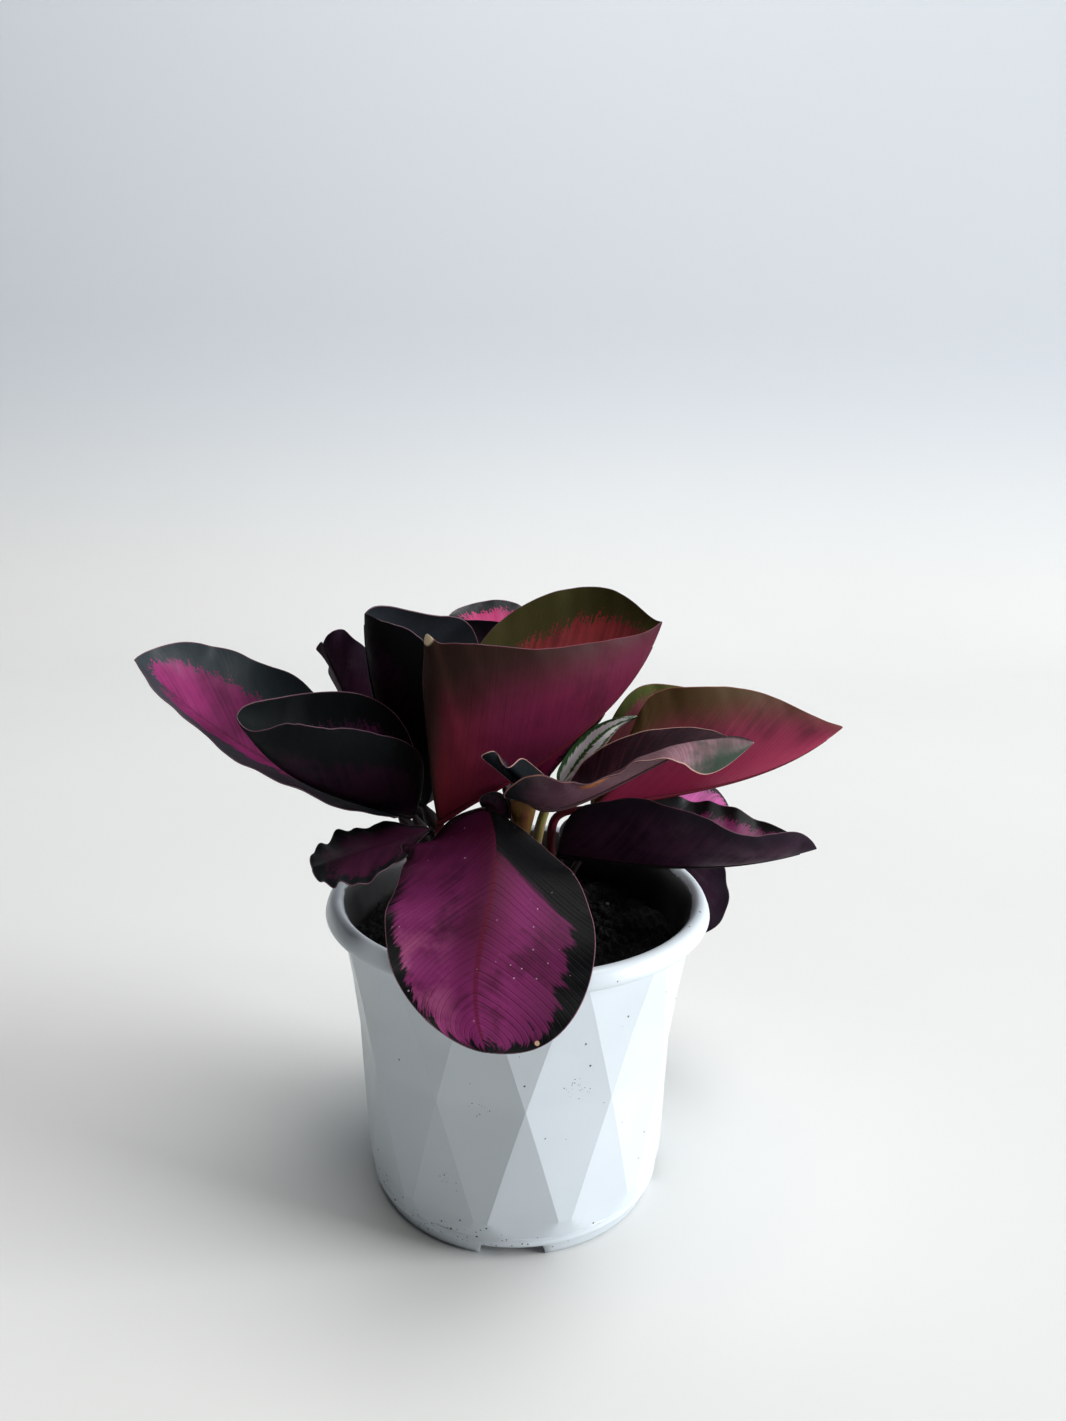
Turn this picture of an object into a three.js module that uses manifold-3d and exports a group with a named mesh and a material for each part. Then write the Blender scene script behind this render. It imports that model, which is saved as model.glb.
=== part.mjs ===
// A calathea in a faceted plastic pot. Millimetres, +Z up, front towards -Y.
// The origin is the middle of the pot's foot, on the surface it stands on.
//
// The pot is a wall turned round the axis, whose outside slides into twelve long diamonds. The soil is
// a disc with a rough top and a plain hole for each leaf stalk. Every leaf is one body: a stalk swept
// along a curve, whose end runs on under the blade as its midrib, and a thin blade stretched from the
// midrib to a left and a right edge.

import * as THREE from 'three';
import { mergeVertices } from 'three/addons/utils/BufferGeometryUtils.js';
import Module from 'manifold-3d';

const wasm = await Module();
wasm.setup();

// ---------------------------------------------------------------- driving dimensions

const POT = {
  height: 115,
  rimRadius: 70,
  footRadius: 52.3,
  diamonds: 12,
  firstDiamond: -11, // degrees round from the front, towards +X
  tipLow: 15, // heights of the diamonds' lower tips, waists and upper tips
  waist: 61,
  tipHigh: 107.5,
  tipHalfAngle: 2.3, // degrees, half of what the blunt tip spans
  notches: 4,
  notchWidth: 22,
  notchHeight: 4,
  drains: 6,
  drainRadius: 4,
  drainCircle: 30,
  floorTop: 6.5,
  floorUnder: 4.5,
};

// Radius and height of each ring of facet corners, up the outside of the body.
const FACET_RINGS = [
  [56.25, 15],
  [57.35, 38],
  [59.0, 61],
  [60.9, 84],
  [64.3, 107.5],
];

// Radius and height of the plain round rings: under the facets, then the rim, the inside and the floor.
const FOOT_RINGS = [
  [50.4, 0],
  [52.3, 0],
  [54.3, 5],
  [55.1, 6.5],
  [54.9, 8.5],
];
const RIM_AND_INSIDE_RINGS = [
  [65.6, 108.8],
  [69.4, 109],
  [70, 109.9],
  [68.6, 113.2],
  [67.4, 114.8],
  [65, 115],
  [63.2, 112.6],
  [61.8, 109],
  [60.2, 100],
  [55.6, 61],
  [52.6, 9],
  [50.4, 6.5],
];
const FLOOR_UNDER_RADIUS = 49.6;

const SOIL = {
  bottom: 6.8,
  topRadius: 59.2,
  edgeHeight: 98,
  middleHeight: 101.5,
  roughness: 1.1,
  rings: 8,
  columns: 36,
  holeBottom: 90,
  holeGap: 0.4,
};

// Radius and height of the soil's side, a small gap inside the pot's wall.
const SOIL_SIDE_RINGS = [
  [50, 6.8],
  [52.1, 9.4],
  [55.2, 61],
];

const BLADE = { thickness: 0.8, along: 14, across: 6 }; // across is the count over both halves
const SMALL_BLADE = { thickness: 0.8, along: 9, across: 4 };
const STALK = {
  sides: 6,
  bottom: 91, // the foot of the stalk, down in its hole
  straightTo: 104,
  stepsToBlade: 7,
  stepsUnderBlade: 5,
  ribReach: 0.8, // how far the midrib stands out under the blade, as a share of its length
  ribRadius: 1.1,
  ribTipRadius: 0.6,
  ribDrop: 0.3, // how far the midrib's line lies under the blade, in its own radii
};
// Where along the midrib an edge's points belong, when it has three of them and when it has five.
const THREE_STATIONS = [0.15, 0.5, 0.85];
const FIVE_STATIONS = [0.1, 0.3, 0.5, 0.7, 0.9];
const RIB_STATIONS = [0, 1 / 3, 2 / 3, 1];
const COLOURS = { pot: 0xd9dee2, soil: 0x14110f, leaf: 0x5a1f45, backlit: 0x7a2338, young: 0x3f6b45 };

// The leaves. rib is the midrib's four points from the base to the tip; left and right are three or five
// points on each edge, seen with the upper face up and the tip ahead. foot is where the stalk stands in
// the soil and via the points it passes; stalkTop is for a stalk that stays wide up to the blade. belly is
// how far each half hangs below the straight line from rib to edge, and tipBelly the same towards the
// tip, where less than 0 arches it up; waves are height, count and phase of each edge's waves; ends round
// the base and the tip.
const LEAVES = [
  {
    name: 'leaf_left_long',
    rib: [[-43, -4, 144], [-70, -10, 156], [-98, -19, 176], [-123, -32, 205]],
    left: [[-53, -24, 152], [-85, -38, 171], [-112, -42, 196]],
    right: [[-54, 8, 164], [-86, 6, 194], [-115, -14, 207]],
    foot: [-19, 3], via: [[-31, 0, 125]], stalkRadius: 2,
    belly: [1, 3], waves: [[0.6, 3, 0.1], [1.6, 2.6, 0.1]], ends: [0.5, 0.9],
  },
  {
    name: 'leaf_left_front',
    rib: [[-37, -10, 146], [-59, -20, 156], [-76, -32, 169], [-88, -44, 190]],
    left: [[-34, -22, 173], [-46, -36, 183], [-59, -44, 187], [-69, -48, 189], [-80, -49, 187]],
    right: [[-43, -8, 182], [-66, -17, 192], [-82, -34, 193]],
    foot: [-17, -6], via: [[-28, -9, 125]], stalkRadius: 2,
    belly: [3, 3], waves: [[0.8, 2.5, 0.3], [1, 2.5, 0.2]], ends: [0.5, 0.66],
  },
  {
    name: 'leaf_upper_left',
    rib: [[-36, 12, 142], [-47, 6, 167], [-52, -4, 195], [-52, -14, 218]],
    left: [[-30, 2, 161], [-28, -14, 200], [-41, -22, 216]],
    right: [[-22, 22, 158], [-17, 26, 187], [-18, 21, 207], [-27, 10, 214], [-43, -6, 219]],
    foot: [-13, 10], via: [[-26, 10, 125]], stalkRadius: 2,
    belly: [3, 3], waves: [[0.5, 3, 0], [1, 3, 0]], ends: [0.5, 0.66],
  },
  {
    name: 'leaf_back_left',
    rib: [[-44, 20, 141], [-57, 24, 162], [-67, 26, 182], [-74, 24, 200]],
    left: [[-41, 32, 154], [-50, 34, 181], [-65, 24, 205]],
    right: [[-53, 32, 149], [-69, 40, 175], [-76, 30, 197]],
    foot: [-6, 18], via: [[-24, 19, 124]], stalkRadius: 1.6,
    belly: [2, 2], waves: [[1.2, 3, 0.2], [1, 3, 0]], ends: [0.5, 0.66],
  },
  {
    name: 'leaf_top_back',
    rib: [[-6, 26, 144], [-3, 40, 168], [-12, 52, 188], [-30, 58, 206]],
    left: [[1, 24, 169], [0, 36, 201], [-19, 50, 206]],
    right: [[10, 50, 166], [7, 72, 201], [-16, 68, 211]],
    foot: [2, 17], via: [[1, 20, 125]], stalkRadius: 1.8,
    belly: [2.5, 2.5], waves: [[0.6, 3, 0], [0.8, 3, 0]], ends: [0.5, 0.66],
  },
  {
    name: 'leaf_centre_big', colour: 'backlit',
    rib: [[-27, -24, 149], [-6, -22, 162], [25, -12, 182], [48, -2, 215]],
    left: [[-21, -2, 173], [-14, 10, 206], [6, 16, 220], [26, 14, 225], [42, 6, 218]],
    right: [[-31, -33, 200], [-22, -42, 214], [-4, -42, 213], [17, -31, 212], [38, -12, 212]],
    foot: [-9, -13], via: [[-21, -19, 126]], stalkRadius: 2.2,
    belly: [3, 3], waves: [[0.8, 2.5, 0], [0.8, 2.5, 0.2]], ends: [0.5, 0.66],
  },
  {
    name: 'leaf_behind_centre', small: true,
    rib: [[1, 4, 148], [8, 8, 159], [15, 12, 170], [24, 16, 183]],
    left: [[-4, 8, 158], [3, 14, 175], [16, 20, 185]],
    right: [[9, 2, 155], [20, 6, 168], [31, 14, 179]],
    foot: [3, 6], via: [[2, 6, 125]], stalkRadius: 1.4,
    belly: [1, 1], waves: [[0, 1, 0], [0, 1, 0]], ends: [0.5, 0.66],
  },
  {
    name: 'leaf_right_big', colour: 'backlit',
    rib: [[26, 2, 146], [59, 9, 150], [92, 18, 156], [122, 27, 171]],
    left: [[33, 8, 178], [47, 12, 190], [67, 16, 187], [92, 20, 182], [111, 22, 175]],
    right: [[40, -4, 180], [50, -2, 191], [68, 2, 192], [89, 10, 187], [110, 18, 177]],
    foot: [13, 3], via: [[12, 4, 120], [13, 5, 140]], stalkRadius: 2,
    belly: [1, 4], waves: [[0.5, 2, 0], [0.8, 2.5, 0.6]], ends: [0.5, 0.66],
  },
  {
    name: 'leaf_new_rolled', colour: 'young', small: true,
    rib: [[15, -8, 158], [22, -5, 168], [30, -3, 176], [42, 0, 181]],
    left: [[14, -6, 164], [22, -2, 174], [33, 0, 180]],
    right: [[20, -10, 162], [30, -6, 172], [36, -2, 178]],
    foot: [5, -8], via: [[5, -8, 125], [8.5, -8, 146]], stalkRadius: 2.2,
    belly: [0.5, 0.5], waves: [[0, 1, 0], [0, 1, 0]], ends: [0.5, 0.66],
  },
  {
    name: 'leaf_front_curled',
    rib: [[2, -36, 164], [21, -36, 162], [51, -33, 177], [76, -32, 181]],
    left: [[-5, -42, 176], [14, -26, 163], [25, -16, 171], [46, -16, 181], [66, -22, 181]],
    right: [[-2, -46, 170], [12, -50, 173], [29, -48, 174], [46, -48, 180], [59, -42, 173]],
    foot: [-2, -12], via: [[-2, -15, 130], [1, -22, 148]], stalkRadius: 2.6, stalkTop: 3.2,
    belly: [2, 3], tipBelly: [2, -5], waves: [[0.6, 2.5, 0], [0.6, 3, 0.5]], ends: [0.5, 1],
  },
  {
    name: 'leaf_right_lower',
    rib: [[14, -8, 132], [47, -12, 130], [77, -13, 131], [105, -12, 137]],
    left: [[34, 12, 145], [67, 12, 146], [90, 0, 142]],
    right: [[23, -18, 154], [37, -26, 159], [54, -33, 158], [73, -32, 150], [92, -23, 147]],
    foot: [18, -7], via: [[17, -8, 118]], stalkRadius: 1.8,
    belly: [2, 3], waves: [[1, 3, 0.3], [0.6, 3.5, 0.2]], ends: [0.5, 0.8],
  },
  {
    name: 'leaf_right_small', small: true,
    rib: [[27, 20, 124], [47, 32, 132], [66, 44, 133], [86, 52, 129]],
    left: [[30, 32, 130], [56, 48, 138], [77, 56, 138]],
    right: [[36, 12, 126], [57, 24, 134], [76, 38, 132]],
    foot: [15, 13], via: [[21, 16, 116]], stalkRadius: 1.4,
    belly: [1, 1], waves: [[1, 2.5, 0], [1, 2.5, 0.5]], ends: [0.5, 0.66],
  },
  {
    name: 'leaf_right_hanging',
    rib: [[22, 38, 120], [50, 62, 121], [67, 77, 94], [62, 87, 55]],
    left: [[20, 58, 121], [39, 85, 110], [45, 91, 72]],
    right: [[43, 40, 121], [80, 50, 107], [86, 66, 69]],
    foot: [8, 24], via: [[12, 28, 112]], stalkRadius: 1.8,
    belly: [1.5, 1.5], waves: [[1, 3, 0], [1.5, 3.5, 0.2]], ends: [0.5, 0.66],
  },
  {
    name: 'leaf_left_low', small: true,
    rib: [[-30, -21, 145], [-41, -30, 144], [-55, -36, 141], [-67, -40, 138]],
    left: [[-35, -34, 143], [-46, -50, 139], [-60, -50, 137]],
    right: [[-39, -18, 146], [-56, -18, 144], [-68, -26, 140]],
    foot: [-22, -12], via: [[-27, -16, 122]], stalkRadius: 1.5,
    belly: [1, 1], waves: [[1, 3, 0.1], [1, 3, 0.4]], ends: [0.5, 0.45],
  },
  {
    name: 'leaf_front',
    rib: [[-10, -30, 156], [-7, -57, 142], [-11, -76, 123], [-7, -92, 104]],
    left: [[9, -38, 146], [24, -66, 132], [17, -86, 111]],
    right: [[-33, -36, 143], [-40, -64, 130], [-28, -84, 112]],
    foot: [-1, -20], via: [[-5, -26, 128]], stalkRadius: 1.8,
    belly: [1, 1], waves: [[0.9, 3.5, 0.2], [1.1, 4, 0.4]], ends: [0.5, 0.5],
  },
  {
    name: 'leaf_small_tip', small: true,
    rib: [[-6, -24, 146], [-6, -26, 151], [-8, -28, 156], [-11, -29, 161]],
    left: [[-9, -24, 148], [-12, -27, 155], [-13, -29, 159]],
    right: [[-4, -23, 148], [-3, -26, 155], [-6, -28, 161]],
    foot: [-8, -19], via: [[-7, -21, 126]], stalkRadius: 1.2,
    belly: [0.5, 0.5], waves: [[0, 1, 0], [0, 1, 0]], ends: [0.5, 0.66],
  },
];

// ---------------------------------------------------------------- meshes and booleans

// Collects corners and faces, leaving out faces that have shrunk to a line.
class Shell {
  constructor() {
    this.points = [];
    this.faces = [];
  }

  add(point) {
    return this.points.push(point) - 1;
  }

  triangle(a, b, c) {
    const [p, q, r] = [a, b, c].map((i) => this.points[i]);
    const area = new THREE.Vector3().subVectors(q, p).cross(new THREE.Vector3().subVectors(r, p)).length();
    if (area > 1e-6) this.faces.push(a, b, c);
  }

  quad(a, b, c, d) {
    this.triangle(a, b, c);
    this.triangle(a, c, d);
  }

  geometry() {
    const geometry = new THREE.BufferGeometry();
    geometry.setAttribute('position', new THREE.Float32BufferAttribute(this.points.flatMap((p) => p.toArray()), 3));
    geometry.setIndex(this.faces);
    return mergeVertices(geometry, 1e-3);
  }
}

function solidFrom(geometry) {
  const bare = geometry.clone();
  bare.deleteAttribute('normal');
  bare.deleteAttribute('uv');
  const merged = mergeVertices(bare, 1e-3);
  return new wasm.Manifold(
    new wasm.Mesh({
      numProp: 3,
      vertProperties: new Float32Array(merged.attributes.position.array),
      triVerts: new Uint32Array(merged.index.array),
    })
  );
}

function geometryFrom(solid) {
  const mesh = solid.getMesh();
  const geometry = new THREE.BufferGeometry();
  geometry.setAttribute('position', new THREE.BufferAttribute(new Float32Array(mesh.vertProperties), 3));
  geometry.setIndex(new THREE.BufferAttribute(new Uint32Array(mesh.triVerts), 1));
  return geometry;
}

function named(name, geometry, colour, roughness) {
  const material = new THREE.MeshStandardMaterial({ color: colour, roughness, metalness: 0 });
  const mesh = new THREE.Mesh(geometry, material);
  mesh.name = name;
  return mesh;
}

// Rings of corners joined into a wall, in order; a null ring closes onto the axis at the height given.
function turned(rings, bottomHeight, topHeight) {
  const shell = new Shell();
  const rows = rings.map((ring) => ring.map((point) => shell.add(point)));
  const count = rings[0].length;
  for (let row = 0; row + 1 < rows.length; row++) {
    for (let k = 0; k < count; k++) {
      const next = (k + 1) % count;
      shell.quad(rows[row][k], rows[row][next], rows[row + 1][next], rows[row + 1][k]);
    }
  }
  const start = shell.add(new THREE.Vector3(0, 0, bottomHeight));
  const end = shell.add(new THREE.Vector3(0, 0, topHeight));
  const last = rows.length - 1;
  for (let k = 0; k < count; k++) {
    const next = (k + 1) % count;
    shell.triangle(start, rows[0][next], rows[0][k]);
    shell.triangle(end, rows[last][k], rows[last][next]);
  }
  return shell.geometry();
}

// Angles are measured from the front, -Y, towards +X.
function onCircle(radius, degrees, height) {
  const angle = THREE.MathUtils.degToRad(degrees);
  return new THREE.Vector3(radius * Math.sin(angle), -radius * Math.cos(angle), height);
}

// ---------------------------------------------------------------- pot

// Half the angle that a diamond spans at a height: all of its share at the waist, little at the tips.
function diamondHalfAngle(height) {
  const widest = 180 / POT.diamonds;
  const reach = height < POT.waist ? POT.waist - POT.tipLow : POT.tipHigh - POT.waist;
  const share = Math.abs(height - POT.waist) / reach;
  return THREE.MathUtils.lerp(widest, POT.tipHalfAngle, share);
}

// Four corners for each diamond: its left edge, its middle, its right edge and the gap's middle.
function facetRing(radius, height) {
  const half = diamondHalfAngle(height);
  const sector = 360 / POT.diamonds;
  const faceMiddle = radius * Math.cos(THREE.MathUtils.degToRad(half));
  const gapMiddle = radius * Math.cos(THREE.MathUtils.degToRad(sector / 2 - half));
  const ring = [];
  for (let k = 0; k < POT.diamonds; k++) {
    const middle = POT.firstDiamond + k * sector;
    ring.push(onCircle(radius, middle - half, height));
    ring.push(onCircle(faceMiddle, middle, height));
    ring.push(onCircle(radius, middle + half, height));
    ring.push(onCircle(gapMiddle, middle + sector / 2, height));
  }
  return ring;
}

function roundRing(radius, height) {
  const sector = 360 / POT.diamonds;
  const ring = [];
  for (let k = 0; k < POT.diamonds * 4; k++) {
    ring.push(onCircle(radius, POT.firstDiamond + ((k - 1) * sector) / 4, height));
  }
  return ring;
}

function box(width, depth, height, x, y, z, degrees) {
  const geometry = new THREE.BoxGeometry(width, depth, height);
  geometry.translate(0, y, z);
  geometry.rotateZ(THREE.MathUtils.degToRad(degrees));
  geometry.translate(x, 0, 0);
  return solidFrom(geometry);
}

function pot() {
  const rings = [
    roundRing(FLOOR_UNDER_RADIUS, POT.floorUnder),
    ...FOOT_RINGS.map(([radius, height]) => roundRing(radius, height)),
    ...FACET_RINGS.map(([radius, height]) => facetRing(radius, height)),
    ...RIM_AND_INSIDE_RINGS.map(([radius, height]) => roundRing(radius, height)),
  ];
  let solid = solidFrom(turned(rings, POT.floorUnder, POT.floorTop));
  const ringDepth = 8;
  for (let k = 0; k < POT.notches; k++) {
    const turn = (360 / POT.notches) * k;
    const notch = box(POT.notchWidth, ringDepth, POT.notchHeight * 2, 0, -POT.footRadius, 0, turn);
    solid = solid.subtract(notch);
  }
  for (let k = 0; k < POT.drains; k++) {
    const drain = new THREE.CylinderGeometry(POT.drainRadius, POT.drainRadius, 10, 12);
    drain.rotateX(Math.PI / 2);
    const place = onCircle(POT.drainCircle, (360 / POT.drains) * (k + 0.5), POT.floorUnder);
    drain.translate(place.x, place.y, place.z);
    solid = solid.subtract(solidFrom(drain));
  }
  return named('pot', geometryFrom(solid), COLOURS.pot, 0.35);
}

// ---------------------------------------------------------------- soil

// Lumps of a few sizes, as a sum of waves that never line up.
function lumps(x, y) {
  const coarse = Math.sin(0.31 * x + 1.3) * Math.cos(0.27 * y - 0.4);
  const middle = Math.sin(0.63 * x - 0.71 * y + 2.1);
  const fine = Math.cos(1.07 * x + 0.93 * y);
  return coarse + 0.6 * middle + 0.5 * fine;
}

function soil() {
  const rings = [];
  const ring = (radius, heightAt) => {
    const points = [];
    for (let k = 0; k < SOIL.columns; k++) {
      const point = onCircle(radius, (360 / SOIL.columns) * k, 0);
      point.z = heightAt(point);
      points.push(point);
    }
    return points;
  };
  const top = (point) => {
    const share = Math.hypot(point.x, point.y) / SOIL.topRadius;
    const mound = THREE.MathUtils.lerp(SOIL.middleHeight, SOIL.edgeHeight, share * share);
    return mound + SOIL.roughness * lumps(point.x, point.y);
  };
  for (const [radius, height] of SOIL_SIDE_RINGS) rings.push(ring(radius, () => height));
  for (let k = SOIL.rings; k > 0; k--) {
    rings.push(ring((SOIL.topRadius * k) / SOIL.rings, top));
  }
  const middle = top(new THREE.Vector3(0, 0, 0));
  let solid = solidFrom(turned(rings, SOIL.bottom, middle));
  for (const leaf of LEAVES) {
    const radius = leaf.stalkRadius + SOIL.holeGap;
    const height = 2 * (SOIL.middleHeight - SOIL.holeBottom);
    const hole = new THREE.CylinderGeometry(radius, radius, height, 10);
    hole.rotateX(Math.PI / 2);
    hole.translate(leaf.foot[0], leaf.foot[1], SOIL.holeBottom + height / 2);
    solid = solid.subtract(solidFrom(hole));
  }
  return named('soil', geometryFrom(solid), COLOURS.soil, 1);
}

// ---------------------------------------------------------------- leaves

const vector = ([x, y, z]) => new THREE.Vector3(x, y, z);

// The smooth curve (a polynomial) that passes through each point at its own station.
function through(points, stations, t) {
  const sum = new THREE.Vector3();
  points.forEach((point, i) => {
    let weight = 1;
    stations.forEach((station, j) => {
      if (i !== j) weight *= (t - station) / (stations[i] - station);
    });
    sum.addScaledVector(point, weight);
  });
  return sum;
}

// Spread is nothing at the base and the tip; ends says how round it starts and how pointed it stops.
const spread = (t, ends) => Math.pow(Math.max(t, 0), ends[0]) * Math.pow(Math.max(1 - t, 0), ends[1]);

function leafShape(leaf) {
  const ribPoints = leaf.rib.map(vector);
  const rib = (t) => through(ribPoints, RIB_STATIONS, t);
  const direction = (t) => rib(t + 0.001).sub(rib(t - 0.001)).normalize();
  const sides = [leaf.left, leaf.right].map((edge) => {
    const stations = edge.length === 5 ? FIVE_STATIONS : THREE_STATIONS;
    const reaches = edge.map((point, i) =>
      vector(point).sub(rib(stations[i])).divideScalar(spread(stations[i], leaf.ends))
    );
    return { stations, reaches };
  });

  // The upward normal of one half, from its reach out to the edge and the direction of the rib.
  const upward = (reach, t, side) => {
    const sign = side === 0 ? -1 : 1;
    return reach.clone().cross(direction(t)).normalize().multiplyScalar(sign);
  };
  const reachAt = (t, side) => {
    const { reaches, stations } = sides[side];
    return through(reaches, stations, t).multiplyScalar(spread(t, leaf.ends));
  };
  const bellyAt = (t, side) => {
    const tip = (leaf.tipBelly ?? leaf.belly)[side];
    return THREE.MathUtils.lerp(leaf.belly[side], tip, THREE.MathUtils.smoothstep(t, 0.25, 0.6));
  };

  // v runs from -1 at the left edge over 0 at the midrib to 1 at the right edge.
  const blade = (t, v) => {
    const side = v < 0 ? 0 : 1;
    const out = Math.abs(v);
    const reach = reachAt(t, side);
    const normal = upward(reach, t, side);
    const [height, count, phase] = leaf.waves[side];
    const fade = Math.sqrt(Math.sin(Math.PI * THREE.MathUtils.clamp(t, 0, 1)));
    const wave = height * Math.sin(2 * Math.PI * (count * t + phase)) * fade * Math.pow(out, 2.2);
    const belly = ((bellyAt(t, side) * reach.length()) / 30) * 4 * out * (1 - out);
    return rib(t).addScaledVector(reach, out).addScaledVector(normal, wave - belly);
  };

  // The upward normal on the midrib is halfway between those of the two halves.
  const ribUp = (t) => {
    const inside = THREE.MathUtils.clamp(t, 0.02, 0.98);
    const left = upward(reachAt(inside, 0), inside, 0);
    const right = upward(reachAt(inside, 1), inside, 1);
    return left.add(right).normalize();
  };
  return { rib, blade, ribUp };
}

// The blade's solid: the sheet, lifted and lowered by half its thickness, and its edge closed all round.
function bladeSolid(shape, { thickness, along: rows, across: columns }) {
  const at = (i, j) => {
    const t = (1 - Math.cos((Math.PI * i) / rows)) / 2; // rows crowd together at the base and the tip
    return shape.blade(t, (2 * j) / columns - 1);
  };
  const sheet = [];
  for (let i = 0; i <= rows; i++) {
    sheet.push([]);
    for (let j = 0; j <= columns; j++) sheet[i].push(at(i, j));
  }
  const normals = sheetNormals(sheet);
  const shell = new Shell();
  const face = (sign) =>
    sheet.map((row, i) => row.map((point, j) => shell.add(lifted(point, normals[i][j], (sign * thickness) / 2))));
  const upper = face(1);
  const under = face(-1);
  for (let i = 0; i < rows; i++) {
    for (let j = 0; j < columns; j++) {
      shell.quad(upper[i][j], upper[i][j + 1], upper[i + 1][j + 1], upper[i + 1][j]);
      // the same diagonal as above, seen from below
      shell.quad(under[i + 1][j + 1], under[i][j + 1], under[i][j], under[i + 1][j]);
    }
    shell.quad(upper[i + 1][0], under[i + 1][0], under[i][0], upper[i][0]);
    shell.quad(upper[i][columns], under[i][columns], under[i + 1][columns], upper[i + 1][columns]);
  }
  return solidFrom(shell.geometry());
}

const lifted = (point, normal, distance) => point.clone().addScaledVector(normal, distance);

// Normals of a sheet of points, each the sum of the normals of the four cells round it. The rows at
// the base and the tip are a single point each, so they share one normal.
function sheetNormals(sheet) {
  const rows = sheet.length - 1;
  const columns = sheet[0].length - 1;
  const normals = sheet.map((row) => row.map(() => new THREE.Vector3()));
  for (let i = 0; i < rows; i++) {
    for (let j = 0; j < columns; j++) {
      const down = new THREE.Vector3().subVectors(sheet[i + 1][j + 1], sheet[i][j]);
      const over = new THREE.Vector3().subVectors(sheet[i][j + 1], sheet[i + 1][j]);
      const normal = over.cross(down).normalize();
      for (const [a, b] of [[i, j], [i + 1, j], [i, j + 1], [i + 1, j + 1]]) normals[a][b].add(normal);
    }
  }
  for (const end of [0, rows]) {
    const shared = normals[end].reduce((sum, normal) => sum.add(normal), new THREE.Vector3());
    normals[end] = normals[end].map(() => shared);
  }
  return normals.map((row) => row.map((normal) => normal.clone().normalize()));
}

// A tube of changing radius through a list of places, with both ends closed.
function tube(places, radii) {
  const shell = new Shell();
  const across = new THREE.Vector3(1, 0, 0);
  const rings = places.map((place, i) => {
    const before = places[Math.max(i - 1, 0)];
    const after = places[Math.min(i + 1, places.length - 1)];
    const ahead = new THREE.Vector3().subVectors(after, before).normalize();
    across.addScaledVector(ahead, -across.dot(ahead)).normalize(); // carried along without twisting
    const third = ahead.clone().cross(across);
    const ring = [];
    for (let k = 0; k < STALK.sides; k++) {
      const angle = (2 * Math.PI * k) / STALK.sides;
      const point = place.clone().addScaledVector(across, radii[i] * Math.cos(angle));
      ring.push(shell.add(point.addScaledVector(third, radii[i] * Math.sin(angle))));
    }
    return ring;
  });
  const last = rings.length - 1;
  const start = shell.add(places[0].clone());
  const end = shell.add(places[last].clone());
  for (let k = 0; k < STALK.sides; k++) {
    const next = (k + 1) % STALK.sides;
    for (let i = 0; i < last; i++) shell.quad(rings[i][k], rings[i][next], rings[i + 1][next], rings[i + 1][k]);
    shell.triangle(start, rings[0][next], rings[0][k]);
    shell.triangle(end, rings[last][k], rings[last][next]);
  }
  return solidFrom(shell.geometry());
}

// The stalk rises straight out of its hole, bends to the blade and runs on under it as the midrib.
function stalkSolid(leaf, shape) {
  const [x, y] = leaf.foot;
  const route = [new THREE.Vector3(x, y, STALK.straightTo), ...leaf.via.map(vector), shape.rib(0)];
  const curve = new THREE.CatmullRomCurve3(route, false, 'catmullrom', 0.5);
  const places = [new THREE.Vector3(x, y, STALK.bottom)];
  const radii = [leaf.stalkRadius];
  for (let i = 0; i < STALK.stepsToBlade; i++) {
    const share = i / STALK.stepsToBlade;
    places.push(curve.getPoint(share));
    radii.push(THREE.MathUtils.lerp(leaf.stalkRadius, leaf.stalkTop ?? STALK.ribRadius, share * share));
  }
  for (let i = 0; i <= STALK.stepsUnderBlade; i++) {
    const share = i / STALK.stepsUnderBlade;
    const t = share * STALK.ribReach;
    const radius = THREE.MathUtils.lerp(STALK.ribRadius, STALK.ribTipRadius, share);
    places.push(lifted(shape.rib(t), shape.ribUp(t), -radius * STALK.ribDrop));
    radii.push(radius);
  }
  return tube(places, radii);
}

function leafMesh(leaf) {
  const shape = leafShape(leaf);
  const whole = bladeSolid(shape, leaf.small ? SMALL_BLADE : BLADE).add(stalkSolid(leaf, shape));
  return named(leaf.name, geometryFrom(whole), COLOURS[leaf.colour ?? 'leaf'], 0.5);
}

// ---------------------------------------------------------------- the whole plant

const plant = new THREE.Group();
plant.add(pot());
plant.add(soil());
for (const leaf of LEAVES) plant.add(leafMesh(leaf));

export default plant;
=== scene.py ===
"""A calathea in a faceted plastic pot, dressed for the camera. Metres, +Z up, front towards -Y.

The pot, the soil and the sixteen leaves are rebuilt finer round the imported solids. Sizes are in
millimetres, and turned to metres where a mesh is made.

Angles round the pot are measured from the front, -Y, towards +X. On a leaf, t runs from 0 at the base to
1 at the tip and v from -1 at the left edge over 0 at the midrib to 1 at the right edge, seen with the
upper face up and the tip ahead.
"""

import math

import bpy
import numpy as np
from mathutils import Matrix, Vector


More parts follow.
